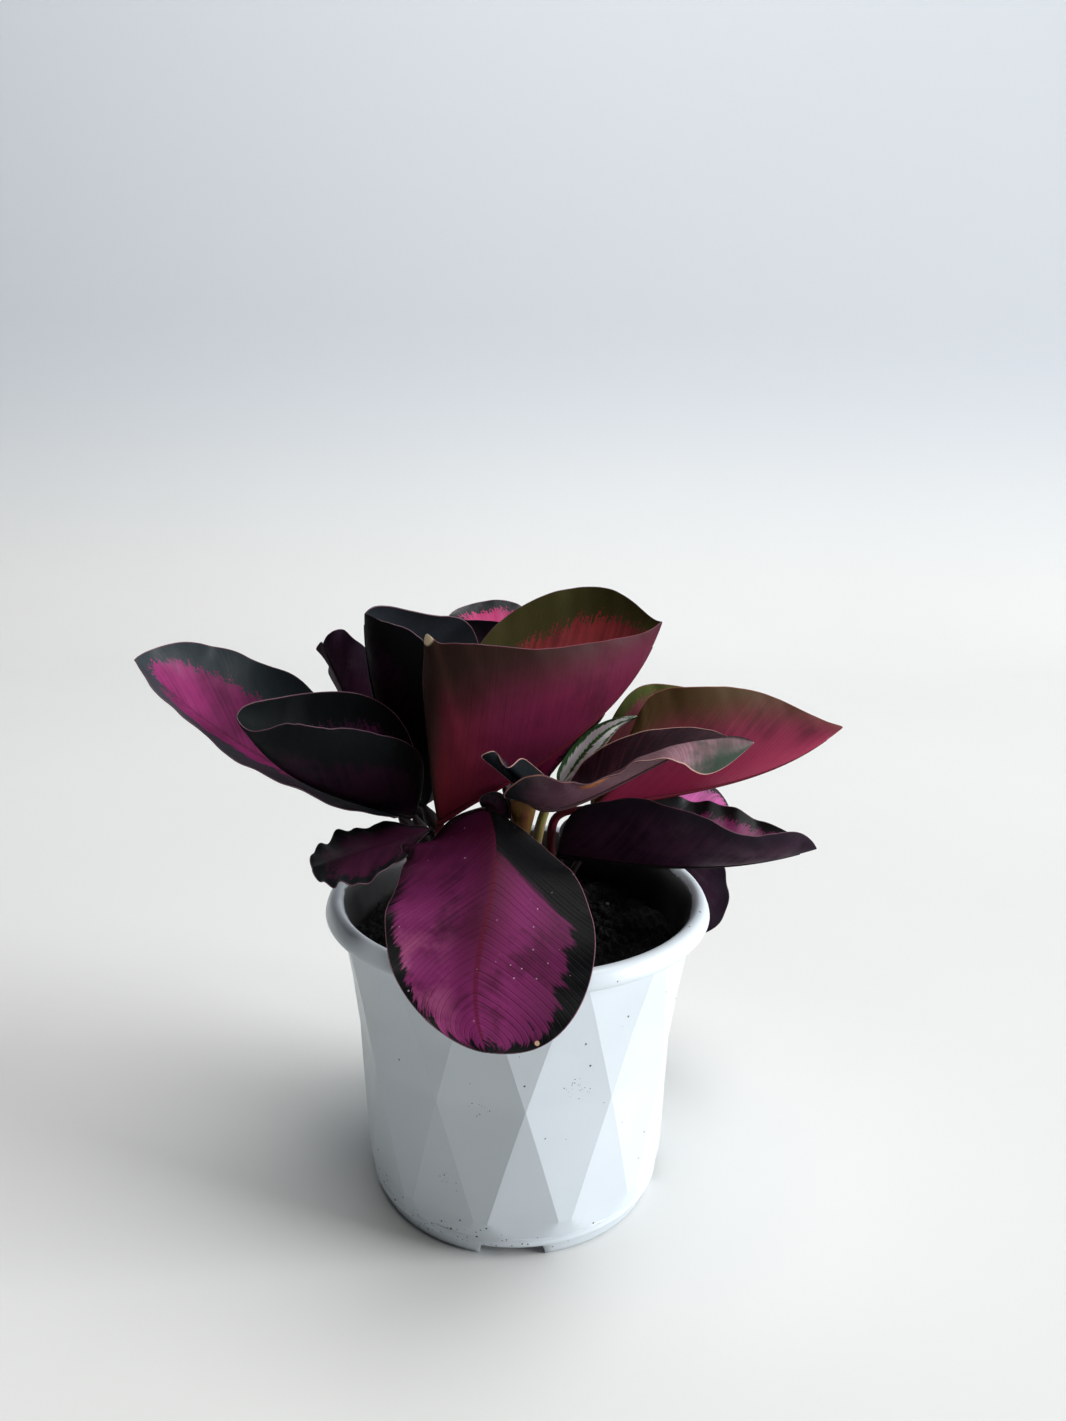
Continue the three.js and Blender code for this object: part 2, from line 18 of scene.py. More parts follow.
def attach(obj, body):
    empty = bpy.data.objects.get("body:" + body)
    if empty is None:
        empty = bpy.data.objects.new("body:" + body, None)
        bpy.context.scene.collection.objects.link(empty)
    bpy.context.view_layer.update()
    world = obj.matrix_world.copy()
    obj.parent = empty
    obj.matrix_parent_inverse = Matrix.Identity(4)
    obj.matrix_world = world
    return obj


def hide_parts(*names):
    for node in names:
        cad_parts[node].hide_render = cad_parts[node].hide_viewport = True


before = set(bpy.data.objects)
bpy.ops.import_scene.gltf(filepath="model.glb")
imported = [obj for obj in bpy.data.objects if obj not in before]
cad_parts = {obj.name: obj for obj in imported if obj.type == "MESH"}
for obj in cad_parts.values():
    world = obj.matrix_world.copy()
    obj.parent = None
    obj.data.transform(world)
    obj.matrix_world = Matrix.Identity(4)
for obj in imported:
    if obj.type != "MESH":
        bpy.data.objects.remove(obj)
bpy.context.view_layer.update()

MM = 0.001
SEED = 7

# ---------------- driving dimensions

DIAMONDS = 12
SECTOR = 360 / DIAMONDS
FIRST_DIAMOND = -11.0  # where its middle is, in degrees
TIP_LOW, WAIST, TIP_HIGH = 15.0, 61.0, 107.5
WAIST_HALF_ANGLE, TIP_HALF_ANGLE = SECTOR / 2, 2.3  # half of what a diamond spans there
FACET_RADII = ((8.5, 55.95), (15, 56.25), (38, 57.35), (61, 59.0), (84, 60.9), (107.5, 64.3))
FACET_HEIGHTS = np.concatenate([np.linspace(8.7, 17, 34), np.linspace(18, TIP_HIGH, 61)])  # of the rings
FOOT_CONE = (8.5, 54.9, 15.0, 56.2)  # a round cone that trims the facets: two heights and radii
CONE_REACH = 4.0  # how far above them it still trims corners
NOTCHES, NOTCH_WIDTH, NOTCH_HEIGHT = 4, 22.0, 4.0
FOOT_RADIUS = 52.0
DRAINS, DRAIN_RADIUS, DRAIN_CIRCLE = 6, 4.0, 30.0
# Radius and height, from under the floor out to the bead over the foot, and from the rim in to the floor.
FOOT_PROFILE = (
    (0, 4.5), (30, 4.5), (49.6, 4.5), (50.2, 2.5), (50.4, 0.25), (50.65, 0), (52.1, 0), (52.4, 0.2),
    (53.2, 2.2), (54.25, 5), (54.75, 5.6), (54.95, 6.2), (54.75, 6.9), (54.6, 7.4), (54.9, 8.5),
)
RIM_PROFILE = (
    (65.2, 108.7), (65.7, 108.85), (67.5, 108.9), (69.2, 108.95), (69.75, 109.25), (69.98, 109.9),
    (69.75, 110.9), (69.2, 112.3), (68.7, 113.3), (68.2, 114.0), (67.6, 114.55), (66.8, 114.9), (65.9, 115),
    (65.1, 114.9), (64.4, 114.4), (63.7, 113.5), (63.1, 112.3), (62.4, 110.6), (61.8, 109), (61.2, 106),
    (60.2, 100), (58.1, 82), (55.6, 61), (54.0, 34), (52.6, 9), (52.1, 7.6), (51.3, 6.8), (50.3, 6.5),
    (30, 6.5), (0, 6.5),
)
RIM_TOP = 12  # which of them is the rim's highest
SMUDGES = ((22, -54, 66), (19, -55, 68), (-12, -57, 60), (-22, -51, 30))  # small patches of dirt outside
SMUDGE_RADIUS = 6.0

SOIL_RADIUS = 59.5
SOIL_EDGE, SOIL_MIDDLE = 98.0, 101.5
SOIL_DIP = 1.8  # how far it has shrunk down at the wall
SOIL_SIDE = ((58, 92), (55.2, 61), (52.1, 9.4), (50, 6.8), (0, 6.8))  # radius and height
CRUMBS = ((1.6, 0.35), (2.7, 0.3), (4.5, 0.25), (7.5, 0.18))  # how fine, and how high

EDGE_STATIONS = {3: (0.15, 0.5, 0.85), 5: (0.1, 0.3, 0.5, 0.7, 0.9)}  # by how many points the edge has
RIB_STATIONS = (0, 1 / 3, 2 / 3, 1)
STALK_BOTTOM, STALK_STRAIGHT_TO = 91.0, 104.0

# Each leaf: rib, the midrib's four points; left and right, three or five points on each edge; foot, where
# its stalk stands, and via, what it passes; stalk, the stalk's radius, and sheath, its radius under the
# blade where it stays wide; belly, how far the left and the right half hang, and tip_belly the same towards
# the tip; waves, the height, count and phase of each edge's; ends, how round the base and the tip are; fold,
# how softly the halves meet; sweep, how far the side veins run on; small, a coarser mesh. frills are further
# waves on a stretch of an edge: side (0 left, 1 right), middle and width in t, height, count, phase. corners
# are where an edge stands out: side, middle, width, and by what share. look is the pattern. border is the
# width of its dark border, left and right, at places spread evenly from t 0.1 to t 0.9.
LEAVES = {
    "leaf_left_long": dict(
        rib=((-43, -4, 144), (-70, -10, 156), (-98, -19, 176), (-123, -32, 205)),
        left=((-53, -24, 152), (-85, -38, 171), (-112, -42, 196)),
        right=((-54, 8, 164), (-86, 6, 194), (-115, -14, 207)),
        foot=(-19, 3), via=((-31, 0, 125),), stalk=2.0, sheath=2.9, belly=(1, 3),
        waves=((0.6, 3, 0.1), (1.6, 2.6, 0.1)), ends=(0.5, 0.9),
        look="long", border=((26, 20, 8), (19, 14, 5)),
        frills=((1, 0.6, 0.25, 1.1, 5, 0), (0, 0.55, 0.3, 0.4, 6, 0.3)),
    ),
    "leaf_left_front": dict(
        rib=((-37, -10, 146), (-59, -20, 156), (-76, -32, 169), (-88, -44, 190)),
        left=((-34, -22, 173), (-46, -36, 183), (-59, -44, 187), (-69, -48, 189), (-80, -49, 187)),
        right=((-43, -8, 182), (-66, -17, 192), (-82, -34, 193)),
        foot=(-17, -6), via=((-28, -9, 125),), stalk=2.0, sheath=2.9, belly=(3, 3),
        waves=((0.8, 2.5, 0.3), (1, 2.5, 0.2)), look="shade", border=((9, 14, 12), (7, 12, 16)),
    ),
    "leaf_upper_left": dict(
        rib=((-36, 12, 142), (-47, 6, 167), (-52, -4, 195), (-52, -14, 218)),
        left=((-30, 2, 161), (-28, -14, 200), (-41, -22, 216)),
        right=((-22, 22, 158), (-17, 26, 187), (-18, 21, 207), (-27, 10, 214), (-43, -6, 219)),
        foot=(-13, 10), via=((-26, 10, 125),), stalk=2.0, sheath=2.8, belly=(3, 3),
        waves=((0.5, 3, 0), (1, 3, 0)), look="dusk", border=((9, 13, 12), (9, 22, 20)),
    ),
    "leaf_back_left": dict(
        rib=((-44, 20, 141), (-57, 24, 162), (-67, 26, 182), (-74, 24, 200)),
        left=((-41, 32, 154), (-50, 34, 181), (-65, 24, 205)),
        right=((-53, 32, 149), (-69, 40, 175), (-76, 30, 197)),
        foot=(-6, 18), via=((-24, 19, 124),), stalk=1.6, sheath=2.4, belly=(2, 2),
        waves=((1.2, 3, 0.2), (1, 3, 0)), look="magenta", border=((4, 5, 4), (4, 5, 4)),
        frills=((0, 0.85, 0.2, 1.4, 6, 0), (1, 0.8, 0.25, 1.2, 5, 0.4)),
    ),
    "leaf_top_back": dict(
        rib=((-6, 26, 144), (-3, 40, 168), (-12, 52, 188), (-30, 58, 206)),
        left=((1, 24, 169), (0, 36, 201), (-19, 50, 206)),
        right=((10, 50, 166), (7, 72, 201), (-16, 68, 211)),
        foot=(2, 17), via=((1, 20, 125),), stalk=1.8, sheath=2.6, belly=(2.5, 2.5),
        waves=((0.6, 3, 0), (0.8, 3, 0)), look="hot", border=((6, 6, 6), (7, 2.2, 5)),
    ),
    "leaf_centre_big": dict(
        rib=((-27, -24, 149), (-6, -22, 162), (25, -12, 182), (48, -2, 215)),
        left=((-21, -2, 173), (-14, 10, 206), (6, 16, 220), (26, 14, 225), (42, 6, 218)),
        right=((-31, -33, 200), (-22, -42, 214), (-4, -42, 213), (17, -31, 212), (38, -12, 212)),
        foot=(-9, -13), via=((-21, -19, 126),), stalk=2.2, sheath=3.4, belly=(3, 3),
        waves=((0.8, 2.5, 0), (0.8, 2.5, 0.2)), corners=((1, 0.2, 0.04, 0.1),),
        look="backlit", border=((14, 13, 8), (24, 12, 2)),
    ),
    "leaf_behind_centre": dict(
        rib=((1, 4, 148), (8, 8, 159), (15, 12, 170), (24, 16, 183)),
        left=((-4, 8, 158), (3, 14, 175), (16, 20, 185)),
        right=((9, 2, 155), (20, 6, 168), (31, 14, 179)),
        foot=(3, 6), via=((2, 6, 125),), stalk=1.4, belly=(1, 1),
        look="hot", border=((0.5, 0.5, 0.5), (1, 3, 8)), small=True,
    ),
    "leaf_right_big": dict(
        rib=((26, 2, 146), (59, 9, 150), (92, 18, 156), (122, 27, 171)),
        left=((33, 8, 178), (47, 12, 190), (67, 16, 187), (92, 20, 182), (111, 22, 175)),
        right=((40, -4, 180), (50, -2, 191), (68, 2, 192), (89, 10, 187), (110, 18, 177)),
        foot=(13, 3), via=((12, 4, 120), (13, 5, 140)), stalk=2.0, belly=(1, 4),
        waves=((0.5, 2, 0), (0.8, 2.5, 0.6)), sweep=0.62, look="glowing", border=((6, 2, 1.5), (13, 11, 1)),
    ),
    "leaf_new_rolled": dict(
        rib=((15, -8, 158), (22, -5, 168), (30, -3, 176), (42, 0, 181)),
        left=((14, -6, 164), (22, -2, 174), (33, 0, 180)),
        right=((20, -10, 162), (30, -6, 172), (36, -2, 178)),
        foot=(5, -8), via=((5, -8, 125), (8.5, -8, 146)), stalk=2.2, belly=(0.5, 0.5),
        look="young", border=((2,), (2,)), small=True,
    ),
    "leaf_front_curled": dict(
        rib=((2, -36, 164), (21, -36, 162), (51, -33, 177), (76, -32, 181)),
        left=((-5, -42, 176), (14, -26, 163), (25, -16, 171), (46, -16, 181), (66, -22, 181)),
        right=((-2, -46, 170), (12, -50, 173), (29, -48, 174), (46, -48, 180), (59, -42, 173)),
        foot=(-2, -12), via=((-2, -15, 130), (1, -22, 148)), stalk=2.6, sheath=5.0,
        belly=(2, 3), tip_belly=(2, -5), waves=((0.6, 2.5, 0), (0.6, 3, 0.5)), ends=(0.5, 1),
        frills=((0, 0.12, 0.12, 2.5, 9, 0.1), (1, 0.5, 0.3, 0.6, 9, 0)), corners=((0, 0.2, 0.06, 0.8),),
        look="worn", border=((5, 4, 3), (5, 4, 3)),
    ),
    "leaf_right_lower": dict(
        rib=((14, -8, 132), (47, -12, 130), (77, -13, 131), (105, -12, 137)),
        left=((34, 12, 145), (67, 12, 146), (90, 0, 142)),
        right=((23, -18, 154), (37, -26, 159), (54, -33, 158), (73, -32, 150), (92, -23, 147)),
        foot=(18, -7), via=((17, -8, 118),), stalk=1.8, belly=(2, 3), ends=(0.5, 0.8),
        waves=((1, 3, 0.3), (0.6, 3.5, 0.2)), look="magenta", border=((6, 6, 4), (6, 7, 5)),
        frills=((0, 0.6, 0.25, 1.2, 6, 0),),
    ),
    "leaf_right_small": dict(
        rib=((27, 20, 124), (47, 32, 132), (66, 44, 133), (86, 52, 129)),
        left=((30, 32, 130), (56, 48, 138), (77, 56, 138)),
        right=((36, 12, 126), (57, 24, 134), (76, 38, 132)),
        foot=(15, 13), via=((21, 16, 116),), stalk=1.4, belly=(1, 1),
        waves=((1, 2.5, 0), (1, 2.5, 0.5)), look="mauve", border=((2, 2.5, 2), (2, 2, 2)), small=True,
    ),
    "leaf_right_hanging": dict(
        rib=((22, 38, 120), (50, 62, 121), (67, 77, 94), (62, 87, 55)),
        left=((20, 58, 121), (39, 85, 110), (45, 91, 72)),
        right=((43, 40, 121), (80, 50, 107), (86, 66, 69)),
        foot=(8, 24), via=((12, 28, 112),), stalk=1.8, belly=(1.5, 1.5),
        waves=((1, 3, 0), (1.5, 3.5, 0.2)), look="dull", border=((4, 5, 4), (4, 5, 4)),
        frills=((1, 0.6, 0.3, 1.3, 6, 0),),
    ),
    "leaf_left_low": dict(
        rib=((-30, -21, 145), (-41, -30, 144), (-55, -36, 141), (-67, -40, 138)),
        left=((-35, -34, 143), (-46, -50, 139), (-60, -50, 137)),
        right=((-39, -18, 146), (-56, -18, 144), (-68, -26, 140)),
        foot=(-22, -12), via=((-27, -16, 122),), stalk=1.5, belly=(1, 1), ends=(0.5, 0.45),
        waves=((1, 3, 0.1), (1, 3, 0.4)), look="dull", border=((3, 4, 5), (3, 4, 5)), small=True,
        frills=((0, 0.75, 0.25, 1.1, 7, 0.1), (1, 0.7, 0.3, 1.1, 6, 0.3)),
    ),
    "leaf_front": dict(
        rib=((-10, -30, 156), (-7, -57, 142), (-11, -76, 123), (-7, -92, 104)),
        left=((9, -38, 146), (24, -66, 132), (17, -86, 111)),
        right=((-33, -36, 143), (-40, -64, 130), (-28, -84, 112)),
        foot=(-1, -20), via=((-5, -26, 128),), stalk=1.8, belly=(1, 1), ends=(0.5, 0.5),
        waves=((0.9, 3.5, 0.2), (1.1, 4, 0.4)), fold=0.2, sweep=0.5,
        look="front", border=((25, 19, 8, 9, 4), (4, 2, 3, 4, 1.5)),
        corners=((1, 0.1, 0.07, 0.3),), frills=((1, 0.08, 0.1, 3.0, 8, 0.2),),
    ),
    "leaf_small_tip": dict(
        rib=((-6, -24, 146), (-6, -26, 151), (-8, -28, 156), (-11, -29, 161)),
        left=((-9, -24, 148), (-12, -27, 155), (-13, -29, 159)),
        right=((-4, -23, 148), (-3, -26, 155), (-6, -28, 161)),
        foot=(-8, -19), via=((-7, -21, 126),), stalk=1.2, belly=(0.5, 0.5),
        look="dull", border=((2,), (2,)), small=True,
    ),
}
CORNER_NICK = (((-29, -40, 215.5), 4.5),)  # the dried corner of the big centre leaf, and its size
FRONT_NICKS = (((-29.1, -84.0, 113.8), 1.6), ((7.1, -90.0, 106.0), 1.2), ((-11.4, -86.0, 110.4), 0.9))
USUAL_ENDS = (0.5, 0.66)
USUAL_FOLD = 0.04  # how softly the halves meet at the midrib, as a share of their width
USUAL_SWEEP = 0.3  # how far the side veins run on towards the tip, as a share of the midrib
VEIN_SPACING = 2.4  # mm along the midrib
EDGE_THICKNESS, MIDDLE_THICKNESS = 0.35, 0.6
BELLY_REACH = 30.0  # a half this wide hangs by its belly, and others in proportion
SWELL, SWELL_VEINS = 0.03, 3  # how high the blade swells, and how many side veins apart
FADE_RATE, FADE_REACH = 12, 12.0  # swelling and ripple are full from t 1/12 on, and on halves so wide
RIPPLES = ((5, 0.16), (9, 0.1), (14, 0.06))  # the edge's fine ripple: how many waves, and how high
RIB_RADIUS, RIB_TIP_RADIUS, RIB_END = 1.1, 0.3, 0.93  # the midrib's ridge under the blade, and its last t
RIB_FROM = 0.86  # the share of the stalk where its radius starts to turn into the ridge's
STALK_RINGS, RIB_RINGS = 40, 50
ROWS, HALF_COLUMNS = 130, 44  # of a blade
SMALL_ROWS, SMALL_HALF_COLUMNS = 70, 20
BORDER_FROM, BORDER_TO = 0.1, 0.9  # the first and the last t where a border's width is given
TIP_SHARE = 0.6  # near the tip a border counts each mm along the midrib as this much

# ---------------- colours

# The leaf faces with a border. colours: of the centre, of its darker places, of the border and of the
# veins. feather: how ragged the border's line is, and haze how softly it is cut, in mm. gloss and shine:
# the roughness and the specular level. lines and streaks: how plain the veins and the dark streaks are.
# base: how strongly root, or else the darker colour, covers the leaf's base. inner: a colour near the
# midrib, a painted glow of light through the blade. pale: one in patches towards the tip. margin: that of
# the very edge. nicks: dried spots.
FACES = {
    "under_maroon": dict(
        colours="3c2034 241220 201522 170c13", feather=1.0, haze=7.0, gloss=0.6, lines=0.15, shine=0.04,
        pale="46303f", margin="4a2c38",
    ),
    "under_black": dict(
        colours="25101f 100b12 08080b 0c090d", feather=1.0, haze=2.0, gloss=0.6, lines=0.15, shine=0.06,
        margin="3a2630",
    ),
    "face_magenta": dict(colours="8a2a66 5a1c46 0a0e11 4a1030", shine=0.3, base=0.5),
    # face_long's border is lighter and bluer than the other borders: a painted sheen on the dark border.
    "face_long": dict(colours="86265f 5c1842 293136 4a1030", shine=0.16, base=0.85, root="3a1028"),
    "face_mauve": dict(colours="b0508e 86386c 14141a 5a2044", feather=1.0),
    "face_hot_pink": dict(colours="a82a62 7c204c 0d1214 701c46"),
    "face_dull": dict(colours="401630 26101c 0c0e12 2a0f20", gloss=0.55, shine=0.1),
    "face_shade": dict(colours="6e2a58 261a2a 0a0f11 141015", feather=1.4, gloss=0.55, shine=0.14),
    # face_dusk is face_shade with a lighter, bluer border: a painted sheen.
    "face_dusk": dict(colours="6e2a58 261a2a 1d242b 1c1a20", feather=1.4, gloss=0.55, shine=0.3),
    # The backlit and glowing faces and unders have the leaves' own reds made lighter: a painted glow of
    # light shining through the thin blades.
    "face_backlit": dict(
        colours="a43c40 74282c 48431e 4a1822", feather=1.8, haze=0.8, gloss=0.5, lines=0.2, shine=0.2,
        nicks=CORNER_NICK,
    ),
    "under_backlit": dict(
        colours="5e1834 3c0e1e 301a14 2e0b18", feather=0.6, haze=11.0, gloss=0.6, lines=0.25, shine=0.08,
        base=0.9, root="6c1c28", margin="6a3440", streaks=0.25, nicks=CORNER_NICK,
    ),
    "face_glowing": dict(
        colours="a05a62 85484e 5a6430 5a1c2a", haze=1.0, gloss=0.5, lines=0.1, shine=0.15, margin="8a5a4c",
    ),
    "under_glowing": dict(
        colours="78283f 561c2e 46321a 4a1a26", feather=0.6, haze=8.0, gloss=0.6, lines=0.45, shine=0.06,
        inner="9a2e4e", margin="7c4a3e", streaks=0.4,
    ),
}
# What moves a border's line, for a feather of 1: noises along the veins (count, steps, detail and reach
# in mm), and a grain.
FINE = (7.0, 14.0, 3)
FEATHERS = ((0.45, 1.2, 2, 4.0), (2.2, 2.2, 3, 8.0), (*FINE, 5.0))
FRONT_FEATHERS = ((0.5, 1.0, 2, 11.0), (2.0, 1.6, 3, 7.0), (*FINE, 5.0))
GRAIN = 6.0
# The young leaf's bands after the first: colour, and from where to where on side it comes in.
YOUNG_BANDS = (
    ("ffffff", -0.72, -0.6), ("44743c", -0.14, -0.04), ("ffffff", 0.16, 0.26), ("4a7448", 0.66, 0.76),
    ("d0a4aa", 0.88, 0.97),
)
# Each stalk's colours at the soil, at the blade and of its streaks, and its midrib's where it differs.
STALKS = {
    "stalk_brown": ("1d1212", "12090c", "201412"),
    "stalk_olive": ("54421e", "6a5024", "6e3a34", "4e363c"),
    "stalk_green": ("6a6a1e", "7a7a42", "9a6068"),
    "stalk_red": ("3b141c", "6a1c2c", "4f2a20"),
}
# Each pattern's upper face, under face and stalk.
PATTERNS = {
    "magenta": ("face_magenta", "under_maroon", "stalk_brown"),
    "long": ("face_long", "under_maroon", "stalk_brown"),
    "hot": ("face_hot_pink", "under_maroon", "stalk_brown"),
    "dull": ("face_dull", "under_maroon", "stalk_brown"),
    "front": ("face_front", "under_maroon", "stalk_brown"),
    "mauve": ("face_mauve", "under_maroon", "stalk_brown"),
    "shade": ("face_shade", "under_black", "stalk_brown"),
    "dusk": ("face_dusk", "under_black", "stalk_brown"),
    "backlit": ("face_backlit", "under_backlit", "stalk_red"),
    "glowing": ("face_glowing", "under_glowing", "stalk_red"),
    "young": ("face_young", "under_young", "stalk_green"),
    "worn": ("face_curled", "under_curled", "stalk_olive"),
}

# ---------------- meshes


def grid_triangles(numbers, around=False):
    """Two triangles for each cell of a grid of vertex numbers; around also joins the last column to the
    first. Cells that have shrunk to a line, as at a pole, lose their flat triangles."""
    if around:
        numbers = np.concatenate([numbers, numbers[:, :1]], axis=1)
    a, b = numbers[:-1, :-1].ravel(), numbers[:-1, 1:].ravel()
    c, d = numbers[1:, 1:].ravel(), numbers[1:, :-1].ravel()
    triangles = np.concatenate([np.stack([a, b, c], 1), np.stack([a, c, d], 1)])
    p, q, r = triangles.T
    return triangles[(p != q) & (q != r) & (r != p)]


def numbered(points, poles=True):
    """The vertex numbers of a grid of points. With poles, its first and its last row are one point each."""
    numbers = np.arange(points.shape[0] * points.shape[1]).reshape(points.shape[:2])
    if poles:
        numbers[0] = numbers[0, 0]
        numbers[-1] = numbers[-1, 0]
    return numbers


def make_piece(name, points, triangles, materials, slots=None, values=None, uv=None):
    """A smooth-shaded object from points in millimetres. values maps an attribute's name to one number a
    point, and slots gives the material's number of each triangle."""
    used, renumbered = np.unique(triangles, return_inverse=True)
    triangles = renumbered.reshape(triangles.shape)
    mesh = bpy.data.meshes.new(name)
    mesh.vertices.add(len(used))
    mesh.vertices.foreach_set("co", (points[used] * MM).astype(np.float32).ravel())
    mesh.loops.add(triangles.size)
    mesh.loops.foreach_set("vertex_index", triangles.astype(np.int32).ravel())
    mesh.polygons.add(len(triangles))
    mesh.polygons.foreach_set("loop_start", np.arange(0, triangles.size, 3, dtype=np.int32))
    for material in materials:
        mesh.materials.append(material)
    if slots is not None:
        mesh.polygons.foreach_set("material_index", slots.astype(np.int32))
    mesh.update(calc_edges=True)
    for key, numbers in (values or {}).items():
        made = mesh.attributes.new(key, "FLOAT", "POINT")
        made.data.foreach_set("value", numbers[used].astype(np.float32))
    if uv is not None:
        layer = mesh.uv_layers.new(name="surface")
        layer.data.foreach_set("uv", uv[used][triangles.ravel()].astype(np.float32).ravel())
    mesh.shade_smooth()
    piece = bpy.data.objects.new(name, mesh)
    bpy.context.scene.collection.objects.link(piece)
    return piece


def unit(vectors):
    return vectors / np.maximum(np.linalg.norm(vectors, axis=-1, keepdims=True), 1e-9)


def on_circle(radius, degrees, height):
    """The point at a radius and an angle from the front: (r sin a, -r cos a, z)."""
    angle = np.radians(degrees)
    return np.stack([radius * np.sin(angle), -radius * np.cos(angle), height + 0 * angle], -1)


def ease(low, high, value):
    """0 below low, 1 above high and 3s^2 - 2s^3 between them."""
    share = np.clip((value - low) / (high - low), 0, 1)
    return share * share * (3 - 2 * share)


# ---------------- materials


def colour(code):
    """A screen colour written as six hex digits, as the linear numbers that a shader takes."""
    parts = np.array([int(code[i : i + 2], 16) for i in (0, 2, 4)]) / 255
    linear = np.where(parts <= 0.04045, parts / 12.92, ((parts + 0.055) / 1.055) ** 2.4)
    return (*linear.tolist(), 1.0)


class Material:
    """A material's nodes: each call adds some and gives back their output. place is in metres."""

    def __init__(self, name, roughness=0.5, **fixed):
        self.made = bpy.data.materials.new(name)
        self.made.use_nodes = True
        self.tree = self.made.node_tree
        self.shader = self.tree.nodes["Principled BSDF"]
        self.shader.inputs["Roughness"].default_value = roughness
        for key, value in fixed.items():
            self.shader.inputs[key.replace("_", " ")].default_value = value
        self.place = self.node("ShaderNodeTexCoord").outputs["Object"]

    def node(self, kind, *inputs, **settings):
        """A node whose first inputs are filled in order, each with a value or another node's output."""
        node = self.tree.nodes.new(kind)
        for key, value in settings.items():
            setattr(node, key, value)
        for socket, value in zip(node.inputs, inputs):
            self.put(socket, value)
        return node

    def put(self, socket, value):
        if isinstance(value, bpy.types.NodeSocket):
            self.tree.links.new(value, socket)
        else:
            socket.default_value = value

    def math(self, operation, a, b=0.0):
        return self.node("ShaderNodeMath", a, b, operation=operation).outputs[0]

    def times(self, *factors):
        """All the factors multiplied together."""
        product = factors[0]
        for factor in factors[1:]:
            product = self.math("MULTIPLY", product, factor)
        return product

    def wander(self, value, noise, reach):
        """The value moved up and down by noise, by half the reach at most."""
        return self.math("ADD", value, self.times(self.math("SUBTRACT", noise, 0.5), reach))

    def value(self, name):
        return self.node("ShaderNodeAttribute", attribute_name=name).outputs["Fac"]

    def axes(self):
        """The place's x, y and z."""
        return self.node("ShaderNodeSeparateXYZ", self.place).outputs

    def vector(self, x, y):
        return self.node("ShaderNodeCombineXYZ", x, y).outputs[0]

    def noise(self, where, scale, detail=2.0, roughness=0.5):
        """Soft noise in space; the node's second input is for four dimensions only."""
        return self.node("ShaderNodeTexNoise", where, 0.0, scale, detail, roughness).outputs["Fac"]

    def near(self, place, radius):
        """1 at a place in millimetres, falling to 0 at the radius round it."""
        place = [number * MM for number in place]
        off = self.node("ShaderNodeVectorMath", self.place, place, operation="DISTANCE").outputs["Value"]
        return self.ease(off, radius * MM, 0.0)

    def ease(self, value, low, high, start=0.0, end=1.0):
        """A smooth step from start at low to end at high."""
        numbers = (value, low, high, start, end)
        return self.node("ShaderNodeMapRange", *numbers, interpolation_type="SMOOTHSTEP").outputs[0]

    def mix(self, share, a, b):
        node = self.node("ShaderNodeMix", share, data_type="RGBA")
        self.put(node.inputs[6], a)
        self.put(node.inputs[7], b)
        return node.outputs[2]

    def lay(self, skin, code, share, most=1.0):
        """A colour laid over the skin: share says where, and most how strongly."""
        return self.mix(self.times(share, most), skin, colour(code))

    def nick(self, skin, code, places):
        """A colour laid on spots: each has its place and its size in millimetres."""
        for place, size in places:
            skin = self.lay(skin, code, self.ease(self.near(place, size), 0.2, 0.5))
        return skin

    def bump(self, height, distance):
        node = self.node("ShaderNodeBump")
        node.inputs["Strength"].default_value = 1.0
        node.inputs["Distance"].default_value = distance
        self.put(node.inputs["Height"], height)
        self.put(self.shader.inputs["Normal"], node.outputs[0])

    def finish(self, base, roughness=None):
        self.put(self.shader.inputs["Base Color"], base)
        if roughness is not None:
            self.put(self.shader.inputs["Roughness"], roughness)
        return self.made


def along_veins(m, count, steps, detail):
    """Noise drawn out along the side veins: count changes from one vein to the next, and steps from the
    midrib out to the edge."""
    where = m.vector(m.times(m.value("veins"), count), m.times(m.value("side"), steps))
    return m.noise(where, 1.0, detail, 0.6)


def feathered(m, feathers, share=1.0):
    """How far inside the border's line a place lies, in mm, once noises along the veins have moved it."""
    line = m.value("inside")
    for count, steps, detail, reach in feathers:
        line = m.wander(line, along_veins(m, count, steps, detail), reach * share)
    return line


def vein_lines(m):
    """1 on each side vein, where veins is a whole number, and 0 between them; some are plainer."""
    veins = m.value("veins")
    near = m.math("ABSOLUTE", m.math("SUBTRACT", m.math("FRACT", m.math("ADD", veins, 0.5)), 0.5))
    strength = m.ease(m.noise(m.vector(m.times(veins, 0.9), 0.0), 1.0, 1), 0.35, 0.65, 0.3, 1.0)
    return m.times(m.ease(near, 0.14, 0.02), strength)


def specks(m, scale, share, least=0.08, more=0.2):
    """1 on small dots. A share of the random cells has one, its radius least and up to more, in cells."""
    cells = m.node("ShaderNodeTexVoronoi", m.place, 0.0, scale).outputs
    chance = m.node("ShaderNodeSeparateColor", cells["Color"]).outputs
    radius = m.math("ADD", m.times(chance[1], more), least)
    return m.times(m.math("LESS_THAN", chance[0], share), m.math("LESS_THAN", cells["Distance"], radius))


